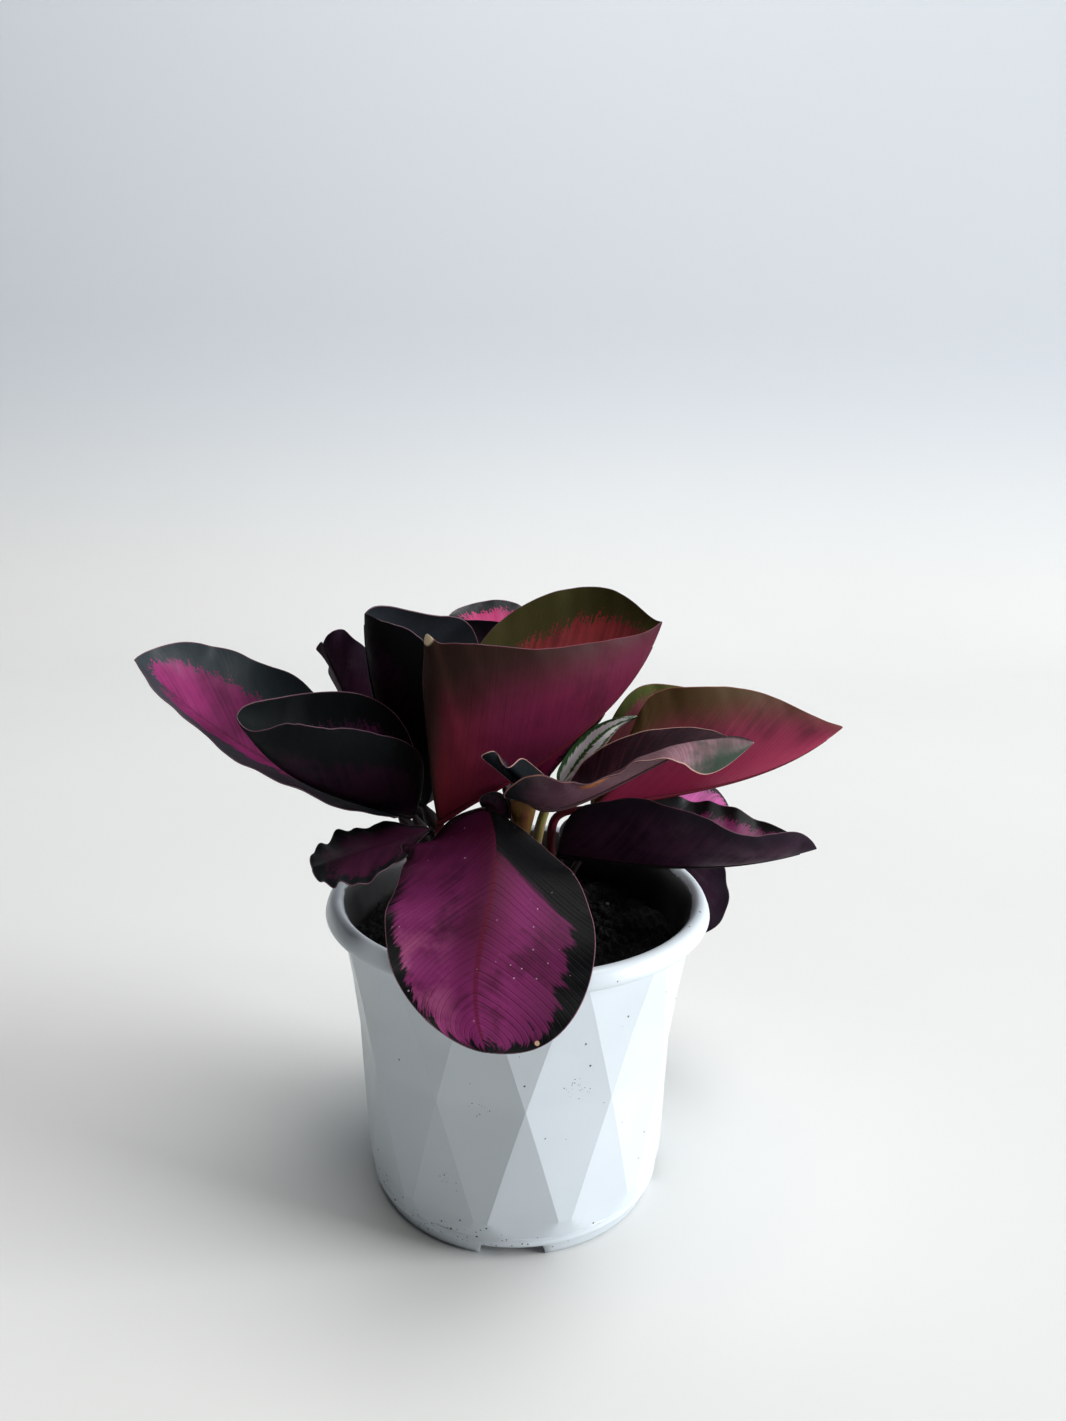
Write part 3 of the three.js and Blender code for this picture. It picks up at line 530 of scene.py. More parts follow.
def leaf_face(name, colours, feather=1.2, haze=0.0, gloss=0.45, lines=0.3, shine=0.35, base=0.0,
              root=None, inner=None, pale=None, margin="6a4450", streaks=0.45, nicks=()):
    """A leaf's face, with the settings told over FACES. The distance in from the border's line, in mm, is
    moved by noise that is long along the side veins and short across them, and by a grain, and then cut
    softly at 0 between the border's colour and the centre's."""
    centre, dark, border, vein = colours.split()
    m = Material(name, gloss, Specular_IOR_Level=shine)
    across, along = m.value("across"), m.value("along")
    line = feathered(m, FEATHERS, feather)
    line = m.wander(line, m.noise(m.place, 1100.0, 2), GRAIN * feather)
    blotches, streak = m.noise(m.place, 60.0, 4), along_veins(m, 1.3, 0.7, 3)
    shade = m.math("ADD", m.times(blotches, 0.75), m.times(streak, streaks))
    body = m.mix(m.ease(shade, 0.48, 0.78), colour(centre), colour(dark))
    body = m.lay(body, root or dark, m.ease(along, 0.45, 0.05), base)
    # inner lays a painted glow of light through the blade near the midrib.
    if inner:
        body = m.lay(body, inner, m.ease(across, 0.65, 0.1), 0.8)
    if pale:
        patches = m.times(m.ease(m.noise(m.place, 75.0, 4, 0.6), 0.46, 0.68), m.ease(along, 0.3, 0.6))
        body = m.lay(body, pale, patches, 0.75)
    thin = vein_lines(m)
    body = m.lay(body, vein, thin, lines)
    body = m.lay(body, vein, m.ease(across, 0.045, 0.012), 0.5)
    outside = m.lay(colour(border), "1b2322", along_veins(m, *FINE), 0.3)
    skin = m.mix(m.ease(line, -0.35 - haze, 0.45 + haze), outside, body)
    skin = m.lay(skin, margin, m.ease(m.value("edge"), 0.32, 0.1))
    skin = m.nick(skin, "d0bd9c", nicks)
    relief = m.math("SUBTRACT", m.times(m.noise(m.place, 1500.0, 2), 0.2), m.times(thin, 0.15))
    m.bump(relief, 0.00015)
    return m.finish(skin, m.ease(m.noise(m.place, 120.0, 3), 0.3, 0.8, gloss - 0.06, gloss + 0.12))


def front_face(name):
    """The front leaf's upper face: dark maroon at the base, magenta further on, pinker on the right towards
    the tip, partly painted light, with a dark red midrib, a black border, dried spots at the tip and pale
    specks."""
    m = Material(name, 0.52, Specular_IOR_Level=0.12)
    side, along = m.value("side"), m.value("along")
    softness = m.ease(along, 0.2, 0.6, 4.0, 0.7)
    centred = m.ease(feathered(m, FRONT_FEATHERS), m.times(softness, -1.0), softness)
    skin = m.mix(m.ease(along, 0.0, 0.5), colour("48102e"), colour("76245a"))
    skin = m.lay(skin, "4c1438", m.ease(side, -0.1, -0.8), 0.6)
    cloud = m.noise(m.place, 70.0, 4, 0.6)
    shade = m.math("ADD", cloud, m.times(along_veins(m, 1.4, 0.7, 3), 0.5))
    skin = m.lay(skin, "4e1538", m.ease(shade, 0.7, 0.95))
    # lit: a lighter pink patch on the right towards the tip, partly the leaf's own colour and partly painted
    # light.
    lit = m.times(m.ease(side, 0.1, 0.6), m.ease(along, 0.35, 0.65), m.ease(along, 0.98, 0.8))
    skin = m.lay(skin, "a4547c", lit, m.ease(m.noise(m.place, 110.0, 4, 0.6), 0.4, 0.7, 0.0, 0.65))
    thin = vein_lines(m)
    skin = m.lay(skin, "3c0c26", thin, 0.3)
    middle = m.times(m.ease(m.value("across"), 0.4, 0.02), m.ease(along, 0.9, 0.5))
    skin = m.lay(skin, "4a0f2c", middle, 0.8)
    skin = m.lay(skin, "580e26", m.ease(m.value("across"), 0.036, 0.014), 0.7)
    skin = m.mix(centred, colour("040507"), skin)
    skin = m.lay(skin, "7c5560", m.ease(m.value("edge"), 0.3, 0.1))
    skin = m.nick(skin, "c9a588", FRONT_NICKS)
    skin = m.lay(skin, "c9b3c4", specks(m, 900.0, 0.015), 0.45)
    m.bump(m.math("SUBTRACT", m.times(cloud, 0.5), m.times(thin, 0.2)), 0.0004)
    return m.finish(skin)


def young_face(name):
    """The rolled young leaf: green and silver bands from one edge to the other, a pink rim, a green tip."""
    m = Material(name, 0.25, Specular_IOR_Level=1.0, Coat_Weight=0.8, Coat_Roughness=0.15)
    side = m.value("side")
    uneven = m.noise(m.vector(m.value("veins"), m.times(side, 0.6)), 1.5, 3)
    side = m.wander(side, uneven, 0.5)
    skin = colour("3c6c3a")
    for code, start, full in YOUNG_BANDS:
        skin = m.lay(skin, code, m.ease(side, start, full))
    skin = m.lay(skin, "3c6c3a", m.ease(m.value("along"), 0.86, 0.95))
    m.bump(m.noise(m.place, 1500.0, 2), 0.0001)
    return m.finish(skin)


def curled_face(name):
    """The curled leaf's upper face: dark maroon inside the fold, green at its base, and silvery pink on
    the half that has rolled outward, with a green patch near its tip and a pale edge."""
    m = Material(name, 0.5, Specular_IOR_Level=0.08)
    side, along = m.value("side"), m.value("along")
    cloud = m.noise(m.place, 130.0, 3)
    streak = m.ease(m.noise(m.vector(m.value("veins"), m.times(side, 0.7)), 1.6, 3), 0.35, 0.7)
    pink = m.mix(streak, colour("7c5862"), colour("96737d"))
    pink = m.lay(pink, "5c4046", m.ease(along, 0.85, 0.5))
    patch = m.times(m.ease(m.wander(along, cloud, 0.25), 0.76, 0.88), m.ease(side, 0.1, 0.7, 0.5, 1.0))
    pink = m.lay(pink, "334036", patch)
    maroon = m.mix(streak, colour("1c0b14"), colour("34151f"))
    skin = m.lay(maroon, "10161a", m.ease(along, 0.34, 0.2), m.ease(side, -0.2, -0.4))
    rolled = m.times(m.ease(side, 0.0, 0.15), m.ease(m.wander(along, cloud, 0.2), 0.42, 0.6))
    skin = m.mix(rolled, skin, pink)
    skin = m.lay(skin, "b48c84", m.ease(m.value("edge"), 0.5, 0.15))
    m.bump(m.noise(m.place, 900.0, 3), 0.00012)
    return m.finish(skin)


def worn_face(name):
    """The curled leaf's outside: black-green at the base, then mauve, with worn spots on one stretch."""
    m = Material(name, 0.45, Specular_IOR_Level=0.3)
    along, edge = m.value("along"), m.value("edge")
    uneven = m.wander(along, m.noise(m.place, 90.0, 3), 0.3)
    skin = m.mix(m.ease(uneven, 0.08, 0.26), colour("14171a"), colour("563844"))
    skin = m.lay(skin, "67464f", m.ease(uneven, 0.3, 0.55))
    spots = m.ease(m.noise(m.place, 260.0, 3), 0.4, 0.5)
    stretch = m.times(m.ease(along, 0.36, 0.4), m.ease(along, 0.56, 0.52))
    skin = m.lay(skin, "a8662c", spots, m.times(m.ease(edge, 9.0, 3.0), stretch))
    skin = m.lay(skin, "2c1522", vein_lines(m), 0.2)
    skin = m.lay(skin, "a0705f", m.ease(edge, 0.5, 0.15))
    m.bump(m.noise(m.place, 900.0, 3), 0.00015)
    return m.finish(skin)


def stalk_skin(name, low, high, blush, midrib=None):
    """A stalk: one colour at the soil, another at the blade, one in streaks, and one on the midrib, where
    along has passed 1."""
    m = Material(name, 0.55, Specular_IOR_Level=0.12)
    along = m.value("along")
    streak = m.noise(m.vector(m.times(m.value("side"), 5.0), m.times(along, 2.0)), 2.0, 3)
    skin = m.mix(m.ease(along, 0.0, 0.9), colour(low), colour(high))
    skin = m.lay(skin, blush, m.ease(streak, 0.42, 0.7))
    skin = m.lay(skin, midrib or high, m.ease(along, 1.0, 1.1))
    m.bump(streak, 0.0003)
    return m.finish(skin)


def rim_skin():
    """The thin edge between a leaf's two faces: brown-pink, faintly uneven."""
    m = Material("leaf_rim", 0.5)
    return m.finish(m.lay(colour("523340"), "000000", m.noise(m.place, 50.0, 3), 0.25))


def leaf_looks():
    """For each pattern, the materials of the upper face, the under face, the rim and the stalk."""
    made = {name: leaf_face(name, **settings) for name, settings in FACES.items()}
    for name, colours in STALKS.items():
        made[name] = stalk_skin(name, *colours)
    for name in ("face_young", "under_young"):
        made[name] = young_face(name)
    made["face_front"] = front_face("face_front")
    made["face_curled"] = curled_face("face_curled")
    made["under_curled"] = worn_face("under_curled")
    rim = rim_skin()
    looks = {}
    for look, (face, under, stalk) in PATTERNS.items():
        looks[look] = [made[face], made[under], rim, made[stalk]]
    return looks


def plastic_skin():
    """Cool white satin plastic. Coarse specks of dirt are many low on the left and few elsewhere, fine ones
    crowd on the foot's bead and in the smudges, and inside a dark colour, partly real staining and partly
    painted shade, ends raggedly below the rim."""
    m = Material("pale_plastic", 0.3, Specular_IOR_Level=0.5, Coat_Weight=0.15, Coat_Roughness=0.12)
    x, _, z = m.axes()
    left = m.ease(x, 20 * MM, -20 * MM)
    coarse = m.math("ADD", m.times(m.ease(z, 20 * MM, 3 * MM), left, 0.5), 0.02)
    fine = m.times(m.ease(z, 12 * MM, 8 * MM), m.ease(z, 3 * MM, 6 * MM), left, 0.55)
    for place in SMUDGES:
        fine = m.math("ADD", fine, m.times(m.near(place, SMUDGE_RADIUS), 0.7))
    dirt = m.math("MAXIMUM", specks(m, 560.0, coarse), specks(m, 1150.0, fine))
    haze = m.noise(m.place, 35.0, 3)
    skin = m.mix(haze, colour("d2dae0"), colour("c8d1d8"))
    skin = m.lay(skin, "443c36", dirt)
    # Dark inside the pot up to a ragged line below the rim: partly real staining, partly painted shade.
    ragged = m.wander(z, m.noise(m.place, 60.0, 4), 6 * MM)
    stain_and_shade = m.times(m.value("inner"), m.ease(ragged, 113.8 * MM, 113.0 * MM))
    skin = m.lay(skin, "1d1714", stain_and_shade, 0.94)
    m.bump(m.noise(m.place, 160.0, 2), 0.00006)
    return m.finish(skin, m.ease(haze, 0.1, 0.9, 0.3, 0.38))


def soil_skin():
    """Moist potting mix: nearly black, with browner crumbs and a few pale grains."""
    m = Material("potting_mix", 0.9, Specular_IOR_Level=0.35)
    crumbs = m.noise(m.place, 420.0, 4, 0.7)
    skin = m.mix(m.ease(crumbs, 0.5, 0.75), colour("161819"), colour("2e2620"))
    skin = m.lay(skin, "a8a8a0", specks(m, 260.0, 0.02, least=0.2, more=0.0))
    m.bump(m.noise(m.place, 900.0, 4, 0.7), 0.0012)
    return m.finish(skin)


# ---------------- pot

SEGMENT = np.array([0, 0.015, 0.05, 0.2, 0.5, 0.8, 0.95, 0.985])  # columns crowd round each facet's edge


def half_angle(height):
    """Half of what a diamond spans at a height: all of its share at the waist, little at the tips."""
    reach = np.where(height < WAIST, WAIST - TIP_LOW, TIP_HIGH - WAIST)
    share = np.clip(np.abs(height - WAIST) / reach, 0, 1)
    return WAIST_HALF_ANGLE + (TIP_HALF_ANGLE - WAIST_HALF_ANGLE) * share


def column_angles(half):
    """Each column's angle: every diamond has four corners (left edge, middle, right edge and the gap's
    middle), with the same eight columns from each corner to the next."""
    corners = np.array([-half, 0, half, SECTOR / 2])
    middles = FIRST_DIAMOND + SECTOR * np.arange(DIAMONDS)
    first = (middles[:, None] + corners).ravel()
    following = np.append(first[1:], first[0] + 360)
    return (first[:, None] + (following - first)[:, None] * SEGMENT).ravel()


def facet_ring(height):
    """A ring of the faceted body: between corners the wall is flat, so r = r0 cos(h) / cos(a - m), where m
    is the middle of the flat and h half its angle. Near the foot the round cone trims it."""
    half = half_angle(height)
    angles = column_angles(half)
    radius = np.interp(height, *np.array(FACET_RADII).T)
    turn = np.mod(angles - FIRST_DIAMOND + half, SECTOR) - half
    in_diamond = turn <= half + 1e-6
    flat_middle = np.where(in_diamond, 0, SECTOR / 2)
    flat_half = np.where(in_diamond, half, SECTOR / 2 - half)
    radii = radius * np.cos(np.radians(flat_half)) / np.cos(np.radians(turn - flat_middle))
    low, low_radius, high, high_radius = FOOT_CONE
    if height < high + CONE_REACH:
        radii = np.minimum(radii, low_radius + (high_radius - low_radius) * (height - low) / (high - low))
    return on_circle(radii, angles, height)


def round_ring(radius, height):
    return on_circle(radius, column_angles(SECTOR / 4), height)


def notched(ring):
    """The foot is cut away in four places: there nothing reaches below the notch's height."""
    angles = np.degrees(np.arctan2(ring[:, 0], -ring[:, 1]))
    step = 360 / NOTCHES
    off = np.abs(np.mod(angles + step / 2, step) - step / 2)
    half = math.degrees(NOTCH_WIDTH / 2 / FOOT_RADIUS)
    floor = NOTCH_HEIGHT * ease(half + 0.5, half - 0.5, off)
    ring[:, 2] = np.maximum(ring[:, 2], floor)
    return ring


def make_pot():
    """The pot's skin in one sheet: under the floor, down and up round the notched foot, up the facets,
    over the rim, down the inside and across the floor. inner is 1 past the rim's top."""
    rings = [notched(round_ring(*place)) for place in FOOT_PROFILE]
    rings += [facet_ring(height) for height in FACET_HEIGHTS]
    rings += [round_ring(*place) for place in RIM_PROFILE]
    points = np.array(rings)
    triangles = grid_triangles(numbered(points), around=True)
    inner = np.arange(len(points)) > len(points) - len(RIM_PROFILE) + RIM_TOP
    values = {"inner": np.repeat(inner, points.shape[1]).astype(float)}
    pot = make_piece("pot_body", points.reshape(-1, 3), triangles, [plastic_skin()], values=values)
    cut_drains(pot)
    settle(pot, "pot")


def cut_drains(pot):
    """Cylinders on a circle are taken out of the floor, and the result is kept as a plain mesh."""
    turn = np.linspace(0, 360, 32, endpoint=False)
    profile = ((0, 3), (DRAIN_RADIUS, 3), (DRAIN_RADIUS, 8), (0, 8))  # from below the floor to above it
    rings = np.array([on_circle(radius, turn, z) for radius, z in profile])
    one = grid_triangles(numbered(rings), around=True)
    places = on_circle(DRAIN_CIRCLE, 360 / DRAINS * (np.arange(DRAINS) + 0.5), 0)
    points = (rings.reshape(1, -1, 3) + places[:, None]).reshape(-1, 3)
    first = len(points) // DRAINS * np.arange(DRAINS)
    cutter = make_piece("drains", points, (one + first[:, None, None]).reshape(-1, 3), [])
    cut = pot.modifiers.new("drains", "BOOLEAN")
    cut.operation, cut.solver, cut.object = "DIFFERENCE", "EXACT", cutter
    seen = pot.evaluated_get(bpy.context.evaluated_depsgraph_get())
    mesh = bpy.data.meshes.new_from_object(seen)
    pot.modifiers.clear()
    pot.data = mesh
    mesh.set_sharp_from_angle(angle=1.2)  # only at the holes
    bpy.data.objects.remove(cutter)


def settle(piece, node):
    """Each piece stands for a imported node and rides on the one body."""
    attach(piece, "root")
    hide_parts(node)


# ---------------- soil


def lumps(x, y):
    """The solid's own waves, and finer crumbs: sums of sines in directions that never line up."""
    coarse = np.sin(0.31 * x + 1.3) * np.cos(0.27 * y - 0.4)
    middle = np.sin(0.63 * x - 0.71 * y + 2.1)
    fine = np.cos(1.07 * x + 0.93 * y)
    total = 1.1 * (coarse + 0.6 * middle + 0.5 * fine)
    rng = np.random.default_rng(SEED)
    for scale, height in CRUMBS:
        for _ in range(5):
            turn, phase, other = rng.uniform(0, 2 * np.pi, 3)
            along = scale * (x * np.cos(turn) + y * np.sin(turn)) + phase
            total = total + 0.5 * height * np.sin(along + 1.5 * np.sin(0.6 * along + other))
    return total


def make_soil():
    """A disc from the middle out, z = mound + lumps, ragged and lower at the wall, then down the side and
    across the bottom."""
    share = np.linspace(0, 1, 150)[:, None]
    angles = np.linspace(0, 360, 420, endpoint=False)
    top = on_circle(share * SOIL_RADIUS, angles + 0 * share, 0)
    rough = lumps(top[..., 0], top[..., 1])
    dip = SOIL_DIP * ease(0.9, 1.0, share) * (1 + 0.5 * np.sin(np.radians(angles) * 7 + 1))
    top[..., 2] = SOIL_MIDDLE + (SOIL_EDGE - SOIL_MIDDLE) * share**2 + rough - dip
    side = [on_circle(radius, angles, height) for radius, height in SOIL_SIDE]
    points = np.concatenate([top, np.array(side)])
    triangles = grid_triangles(numbered(points), around=True)[:, ::-1]
    soil = make_piece("soil_bed", points.reshape(-1, 3), triangles, [soil_skin()])
    settle(soil, "soil")


# ---------------- leaves


def through(points, stations, t):
    """The polynomial curve that passes through each point at its own station, for every t at once."""
    total = np.zeros((len(t), 3))
    for i, point in enumerate(points):
        weight = np.ones_like(t)
        for j, station in enumerate(stations):
            if i != j:
                weight = weight * (t - station) / (stations[i] - station)
        total += weight[:, None] * np.array(point, float)
    return total


def spread(t, ends):
    """Nothing at the base and the tip: t to one power times (1 - t) to another."""
    return np.maximum(t, 0) ** ends[0] * np.maximum(1 - t, 0) ** ends[1]


def bell(t, middle, width):
    """1 at the middle, falling off to both sides: e^-((t - middle) / width)^2."""
    return np.exp(-(((t - middle) / width) ** 2))


def sine(t, height, count, phase):
    return height * np.sin(2 * np.pi * (count * t + phase))


def on_right(v):
    """0 on the left half and 1 on the right."""
    return (v > 0).astype(int)


def leaf_sides(leaf, t):
    """The midrib, and for each side the reach from it to the edge and the upward normal."""
    ends = leaf.get("ends", USUAL_ENDS)
    rib = through(leaf["rib"], RIB_STATIONS, t)
    step = 1e-3
    ahead = through(leaf["rib"], RIB_STATIONS, t + step) - through(leaf["rib"], RIB_STATIONS, t - step)
    reaches, ups = [], []
    for number, edge in enumerate((leaf["left"], leaf["right"])):
        stations = np.array(EDGE_STATIONS[len(edge)])
        on_rib = through(leaf["rib"], RIB_STATIONS, stations)
        shaped = (np.array(edge, float) - on_rib) / spread(stations, ends)[:, None]
        full = through(shaped, stations, t)
        for side, middle, width, gain in leaf.get("corners", ()):
            if side == number:
                full = full * (1 + gain * bell(t, middle, width))[:, None]
        reaches.append(full * spread(t, ends)[:, None])
        ups.append((1 if number else -1) * unit(np.cross(full, unit(ahead))))
    return rib, reaches, ups


def edge_waves(leaf, t, v):
    """How far waves and frills lift a place: the edge's lift times |v|^2.2. Waves fade out at both ends
    as the root of sin(pi t), and frills as a bell."""
    t = t[:, None]
    lift = np.zeros((len(t), len(v)))
    for number, wave in enumerate(leaf.get("waves", ())):
        lift += np.where(on_right(v) == number, sine(t, *wave) * np.sqrt(np.sin(np.pi * t)), 0)
    for number, middle, width, *wave in leaf.get("frills", ()):
        lift += np.where(on_right(v) == number, sine(t, *wave) * bell(t, middle, width), 0)
    return lift * np.abs(v) ** 2.2


def ripple(t, v, seed):
    """The edge's fine ripple: three sines with random phases, further on by 0.3 on the right, times v^4."""
    phases = np.random.default_rng(seed).random(len(RIPPLES)) + 0.3 * on_right(v)[:, None]
    total = 0
    for (count, height), phase in zip(RIPPLES, phases.T):
        total = total + sine(t[:, None], height, count, phase)
    return total * v**4


def rounded_fold(leaf, v):
    """|v| with its corner at the midrib rounded: (sqrt(v^2 + s^2) - s) / (sqrt(1 + s^2) - s), s = fold."""
    soft = leaf.get("fold", USUAL_FOLD)
    return (np.sqrt(v**2 + soft**2) - soft) / (math.sqrt(1 + soft**2) - soft)


def blade_sheet(leaf, t, v, seed):
    """The blade's middle surface. With a = |v| and g the rounded fold, it is
    rib(t) + v (right(t) - left(t)) / 2 + g (right(t) + left(t)) / 2
    + up(t) (waves - hang 4 g (1 - a) + (swelling between the side veins + ripple) fade),
    where right and left reach to the edges and the fade keeps base, tip and narrow places smooth."""
    rib, (left, right), ups = leaf_sides(leaf, t)
    side, a, tt = on_right(v), np.abs(v), t[:, None]
    length = np.linalg.norm(np.stack([left, right])[side], axis=2).T
    up = np.stack(ups)[side].transpose(1, 0, 2)
    fold = rounded_fold(leaf, v)
    belly = np.array(leaf["belly"], float)
    further = np.array(leaf.get("tip_belly", belly), float) - belly
    depth = belly[side] + further[side] * ease(0.25, 0.6, tt)
    hang = depth * length / BELLY_REACH * 4 * fold * (1 - a)
    veins = vein_count(leaf, t, v)
    swell = SWELL * np.cos(2 * np.pi * veins / SWELL_VEINS) * np.sin(np.pi * a) ** 0.7
    fade = np.clip(np.minimum(tt, 1 - tt) * FADE_RATE, 0, 1) * np.clip(length / FADE_REACH, 0, 1)
    offset = edge_waves(leaf, t, v) - hang + (swell + ripple(t, v, seed)) * fade
    spread_out = v[:, None] * (right - left)[:, None] / 2
    folded = fold[:, None] * (right + left)[:, None] / 2
    return rib[:, None] + spread_out + folded + offset[..., None] * up, length, veins


def blade_length(leaf):
    steps = np.diff(through(leaf["rib"], RIB_STATIONS, np.linspace(0, 1, 40)), axis=0)
    return np.linalg.norm(steps, axis=1).sum()


def vein_count(leaf, t, v):
    """Which side vein a place lies on: the veins leave the midrib at even steps and sweep to the tip."""
    back = leaf.get("sweep", USUAL_SWEEP) * np.abs(v) ** 1.3 * (1 - 0.55 * t[:, None])
    return (t[:, None] - back) * blade_length(leaf) / VEIN_SPACING


def sheet_normals(points):
    """Upward normals of a sheet: the cross product of its two directions, with the ends' rows, which are
    single points, given the mean of their neighbours."""
    along = np.gradient(points, axis=0)
    across = np.gradient(points, axis=1)
    normals = unit(np.cross(across, along))
    normals[0] = unit(normals[1].mean(axis=0))
    normals[-1] = unit(normals[-2].mean(axis=0))
    return normals


def blade_values(leaf, t, v, length, veins, seed):
    """What the materials read: inside and edge, how far in from the border's line and from the edge, in
    mm; veins, the side vein, in numbers that no two leaves share; across, |v|; side, v; along, t."""
    ones = np.ones_like(length)
    given = [(np.linspace(BORDER_FROM, BORDER_TO, len(side)), side) for side in leaf["border"]]
    width = np.stack([np.interp(t, *places) for places in given], 1)[:, on_right(v)]
    edge = (1 - np.abs(v)) * length
    near_tip = (1 - t[:, None]) * blade_length(leaf) * TIP_SHARE
    return {
        "inside": np.minimum(edge, near_tip + 1) - width,
        "edge": np.minimum(edge, near_tip + 0.6),
        "veins": veins + 100 * seed,
        "across": np.abs(v) * ones,
        "side": v * ones,
        "along": t[:, None] * ones,
    }


def blade_solid(leaf, seed):
    """Points, triangles, material numbers and values of a blade: the middle surface lifted and lowered by
    half a thickness that thins towards the edge, and closed along both edges."""
    rows, half = (SMALL_ROWS, SMALL_HALF_COLUMNS) if leaf.get("small") else (ROWS, HALF_COLUMNS)
    t = (1 - np.cos(np.pi * np.linspace(0, 1, rows + 1))) / 2
    a = 1 - (1 - np.linspace(0, 1, half + 1)) ** 1.4
    v = np.concatenate([-a[::-1], a[1:]])
    points, length, veins = blade_sheet(leaf, t, v, seed)
    thickness = EDGE_THICKNESS + (MIDDLE_THICKNESS - EDGE_THICKNESS) * (1 - np.abs(v))
    lift = sheet_normals(points) * thickness[:, None] / 2
    both = np.concatenate([(points + lift).reshape(-1, 3), (points - lift).reshape(-1, 3)])
    upper = numbered(points)
    under = upper + upper.size
    parts = [
        grid_triangles(upper),
        grid_triangles(under)[:, ::-1],
        grid_triangles(np.stack([under[:, 0], upper[:, 0]], 1)),
        grid_triangles(np.stack([upper[:, -1], under[:, -1]], 1)),
    ]
    slots = np.repeat([0, 1, 2, 2], [len(part) for part in parts])
    values = blade_values(leaf, t, v, length, veins, seed)
    values = {key: np.tile(numbers.ravel(), 2) for key, numbers in values.items()}
    return both, np.concatenate(parts), slots, values


def smooth_path(points, steps):
    """A uniform Catmull-Rom curve through the points, its ends continued straight on."""
    points = np.array(points, float)
    points = np.vstack([2 * points[0] - points[1], points, 2 * points[-1] - points[-2]])
    spans = len(points) - 3
    where = np.linspace(0, spans, steps)
    first = np.minimum(where.astype(int), spans - 1)
    s = (where - first)[:, None]
    p0, p1, p2, p3 = (points[first + k] for k in range(4))
    square = 2 * p0 - 5 * p1 + 4 * p2 - p3
    cube = 3 * p1 - p0 - 3 * p2 + p3
    return 0.5 * (2 * p1 + (p2 - p0) * s + square * s**2 + cube * s**3)


def stalk_path(leaf):
    """The stalk's path, straight out of the soil and then curving to the blade, with the midrib's ridge
    under the blade, and the radius at each point."""
    x, y = leaf["foot"]
    rise = smooth_path([(x, y, STALK_STRAIGHT_TO), *leaf["via"], leaf["rib"][0]], STALK_RINGS)
    share = np.linspace(0, 1, STALK_RINGS)
    radii = leaf["stalk"] + (leaf.get("sheath", RIB_RADIUS) - leaf["stalk"]) * share**2
    radii = radii + (RIB_RADIUS - radii) * ease(RIB_FROM, 1, share)
    t = np.linspace(0, RIB_END, RIB_RINGS)[1:]
    _, _, ups = leaf_sides(leaf, np.maximum(t, 0.02))
    rib_radii = RIB_RADIUS + (RIB_TIP_RADIUS - RIB_RADIUS) * (t / RIB_END) ** 0.8
    sunk = unit(ups[0] + ups[1]) * (rib_radii * 0.8)[:, None]
    path = np.vstack([[(x, y, STALK_BOTTOM)], rise, through(leaf["rib"], RIB_STATIONS, t) - sunk])
    return path, np.concatenate([[leaf["stalk"]], radii, rib_radii])


def stalk_tube(leaf, sides=14):
    """The stalk and the ridge as one closed tube: circles along the path, each set square to it."""
    path, radii = stalk_path(leaf)
    ahead = unit(np.gradient(path, axis=0))
    reference = np.array([1.0, 0.2, 0.0])
    across = unit(reference - (ahead @ reference)[:, None] * ahead)
    third = np.cross(ahead, across)
    turn = np.linspace(0, 2 * np.pi, sides, endpoint=False)[:, None]
    ring = across[:, None] * np.cos(turn) + third[:, None] * np.sin(turn)
    points = path[:, None] + ring * radii[:, None, None]
    numbers = numbered(points, poles=False)
    first, last = np.full((1, sides), numbers.size), np.full((1, sides), numbers.size + 1)
    triangles = grid_triangles(np.concatenate([first, numbers, last]), around=True)
    along = np.arange(len(path)) / (STALK_RINGS + 1)
    values = {
        "along": np.append(np.repeat(along, sides), along[[0, -1]]),
        "side": np.append(np.tile(np.sin(turn[:, 0]), len(path)), [0, 0]),
    }
    return np.concatenate([points.reshape(-1, 3), path[[0, -1]]]), triangles, values


def make_leaf(name, leaf, seed, looks):
    """One leaf: its blade's upper face, under face and rim, and its stalk, in one mesh."""
    points, triangles, slots, values = blade_solid(leaf, seed)
    stalk, stalk_triangles, stalk_values = stalk_tube(leaf)
    triangles = np.concatenate([triangles, stalk_triangles + len(points)])
    slots = np.concatenate([slots, np.full(len(stalk_triangles), 3)])
    points = np.concatenate([points, stalk])
    for key in values:
        more = stalk_values.get(key, np.zeros(len(stalk)))
        values[key] = np.concatenate([values[key], more])
    uv = np.stack([values["side"] * 0.5 + 0.5, np.clip(values["along"], 0, 1)], 1)
    piece = make_piece(name + "_grown", points, triangles, looks[leaf["look"]], slots, values, uv)
    settle(piece, name)


# ---------------- stage, light and camera

CAMERA_PLACE = (4.284, -365.345, 275.148)
CAMERA_PITCH, CAMERA_ROLL = 14.245, 0.966  # degrees down, and round the line of sight
CAMERA_FOCAL = 1067 / 1421  # the focal length as a share of the picture's height
SENSOR_HEIGHT = 36.0
CLIP_START = 0.01
# Each lamp's place and what it looks at, in metres; its width and height; its watts; its tint.
LIGHTS = {
    "window": ((8.0, -1.3, 2.3), (0, 0, 0.15), (4.2, 4.2), 1000, "fbfdff"),
    "overhead": ((0.35, -0.15, 2.3), (0, 0, 0), (1.8, 1.4), 38, "fdfdfb"),
    "backdrop": ((-0.6, 0.6, 1.2), (-0.6, 1.4, 0.9), (2.0, 0.6), 2, "fdfdfb"),
    "room": ((0.4, -1.3, 1.2), (0, 0, 0.1), (1.2, 1.2), 0.4, "f4f6ff"),
}
WORLD_TINT, WORLD_STRENGTH = "eef2f6", 0.015


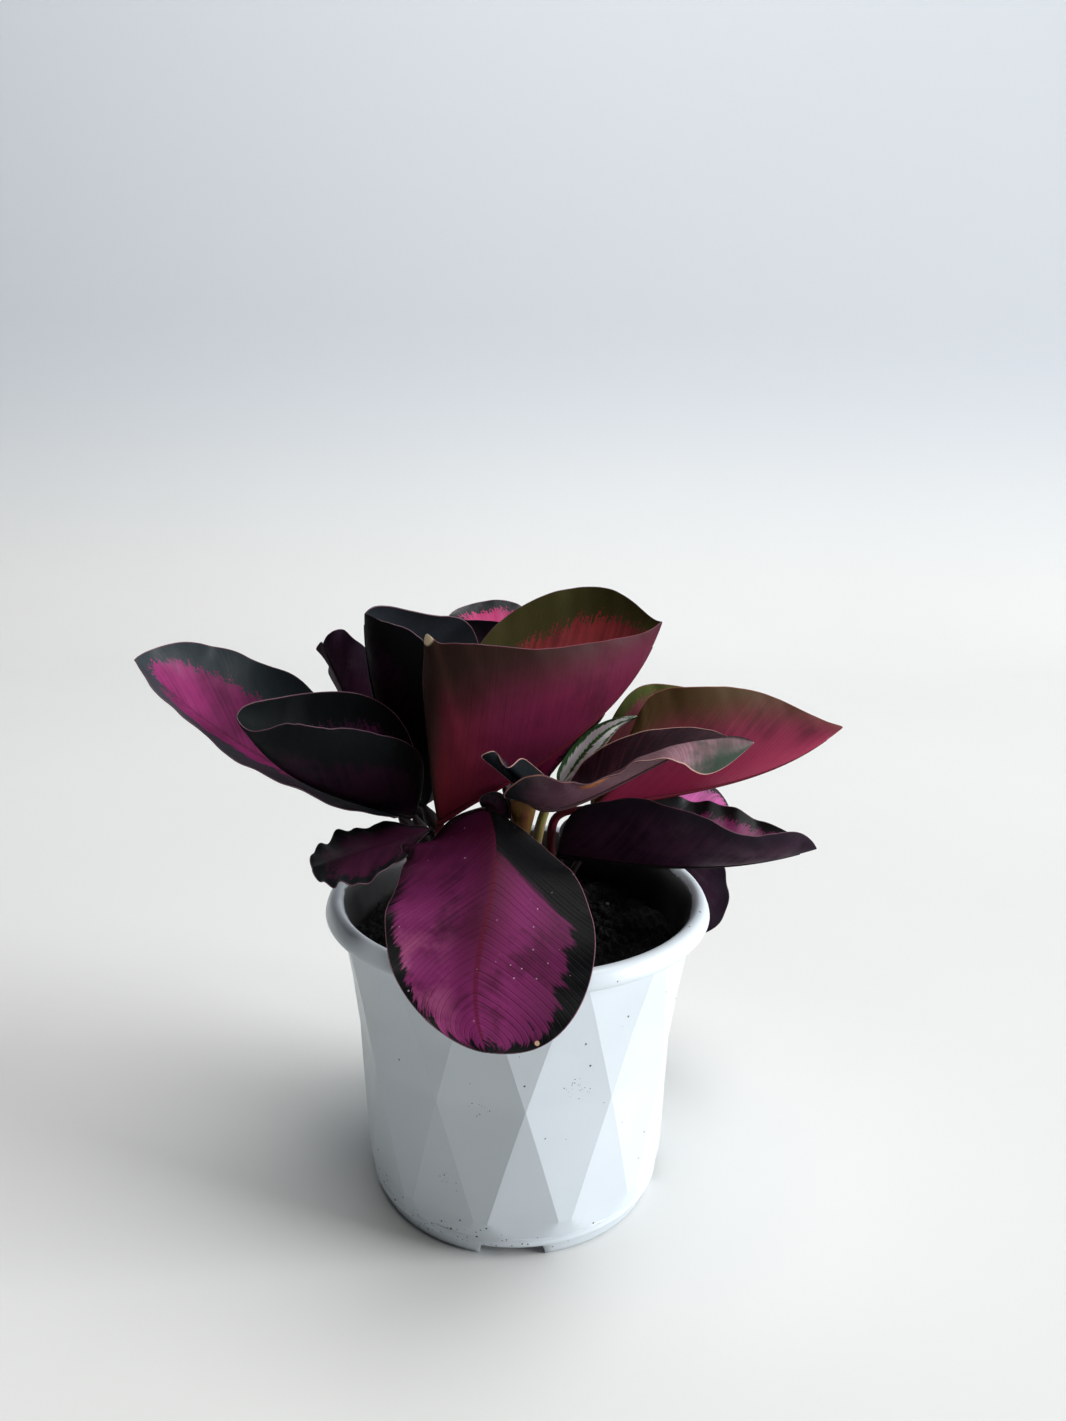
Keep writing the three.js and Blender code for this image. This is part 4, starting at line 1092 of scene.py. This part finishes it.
def make_camera():
    """The camera of the photograph: looking along +Y, pitched down, and rolled round its line of sight."""
    data = bpy.data.cameras.new("camera")
    data.sensor_fit = "AUTO"  # the picture's longer side, which is its height
    data.sensor_width = SENSOR_HEIGHT
    data.lens = CAMERA_FOCAL * SENSOR_HEIGHT
    data.clip_start = CLIP_START
    camera = bpy.data.objects.new("camera", data)
    pitch = Matrix.Rotation(math.radians(90 - CAMERA_PITCH), 4, "X")
    roll = Matrix.Rotation(math.radians(CAMERA_ROLL), 4, "Z")
    camera.matrix_world = Matrix.Translation(Vector(CAMERA_PLACE) * MM) @ pitch @ roll
    bpy.context.scene.collection.objects.link(camera)
    bpy.context.scene.camera = camera


def make_stage():
    """A pale floor that sweeps up behind into a backdrop: flat, then a quarter circle, then upright."""
    front, bend, back, half_width, height = -2500.0, 450.0, 900.0, 3000.0, 2600.0
    turn = np.linspace(0, np.pi / 2, 24)
    y = np.concatenate([[front, 0], back + bend * np.sin(turn), [back + bend]])
    z = np.concatenate([[0, 0], bend - bend * np.cos(turn), [height]])
    x = np.array([-half_width, half_width])
    points = np.stack([x[None, :] + 0 * y[:, None], y[:, None] + 0 * x, z[:, None] + 0 * x], -1)
    m = Material("pale_floor", 0.6, Specular_IOR_Level=0.3)
    skin = m.mix(m.noise(m.place, 3.0, 3), colour("e4e4e2"), colour("dddddb"))
    # The backdrop turns greyer going up: painted shade, which keeps it no brighter than the floor under the
    # lamps.
    skin = m.finish(m.lay(skin, "cdd2d8", m.ease(m.axes()["Z"], 0.0, 0.4)))
    triangles = grid_triangles(numbered(points, poles=False))
    floor = make_piece("floor", points.reshape(-1, 3), triangles, [skin])


def add_light(name, place, target, size, power, tint):
    data = bpy.data.lights.new(name, "AREA")
    data.shape = "RECTANGLE"
    data.size, data.size_y = size
    data.energy = power
    data.color = colour(tint)[:3]
    light = bpy.data.objects.new(name, data)
    light.location = place
    light.rotation_euler = (Vector(target) - Vector(place)).to_track_quat("-Z", "Y").to_euler()
    bpy.context.scene.collection.objects.link(light)


def make_light():
    for name, settings in LIGHTS.items():
        add_light(name, *settings)
    world = bpy.data.worlds.new("room_light")
    world.use_nodes = True
    background = world.node_tree.nodes["Background"].inputs
    background["Color"].default_value = colour(WORLD_TINT)
    background["Strength"].default_value = WORLD_STRENGTH
    bpy.context.scene.world = world
    bpy.context.scene.view_settings.view_transform = "Standard"


# ---------------- the whole scene

make_camera()
make_stage()
make_light()
make_pot()
make_soil()
LOOKS = leaf_looks()
for number, (name, leaf) in enumerate(LEAVES.items()):
    make_leaf(name, leaf, number + 1, LOOKS)
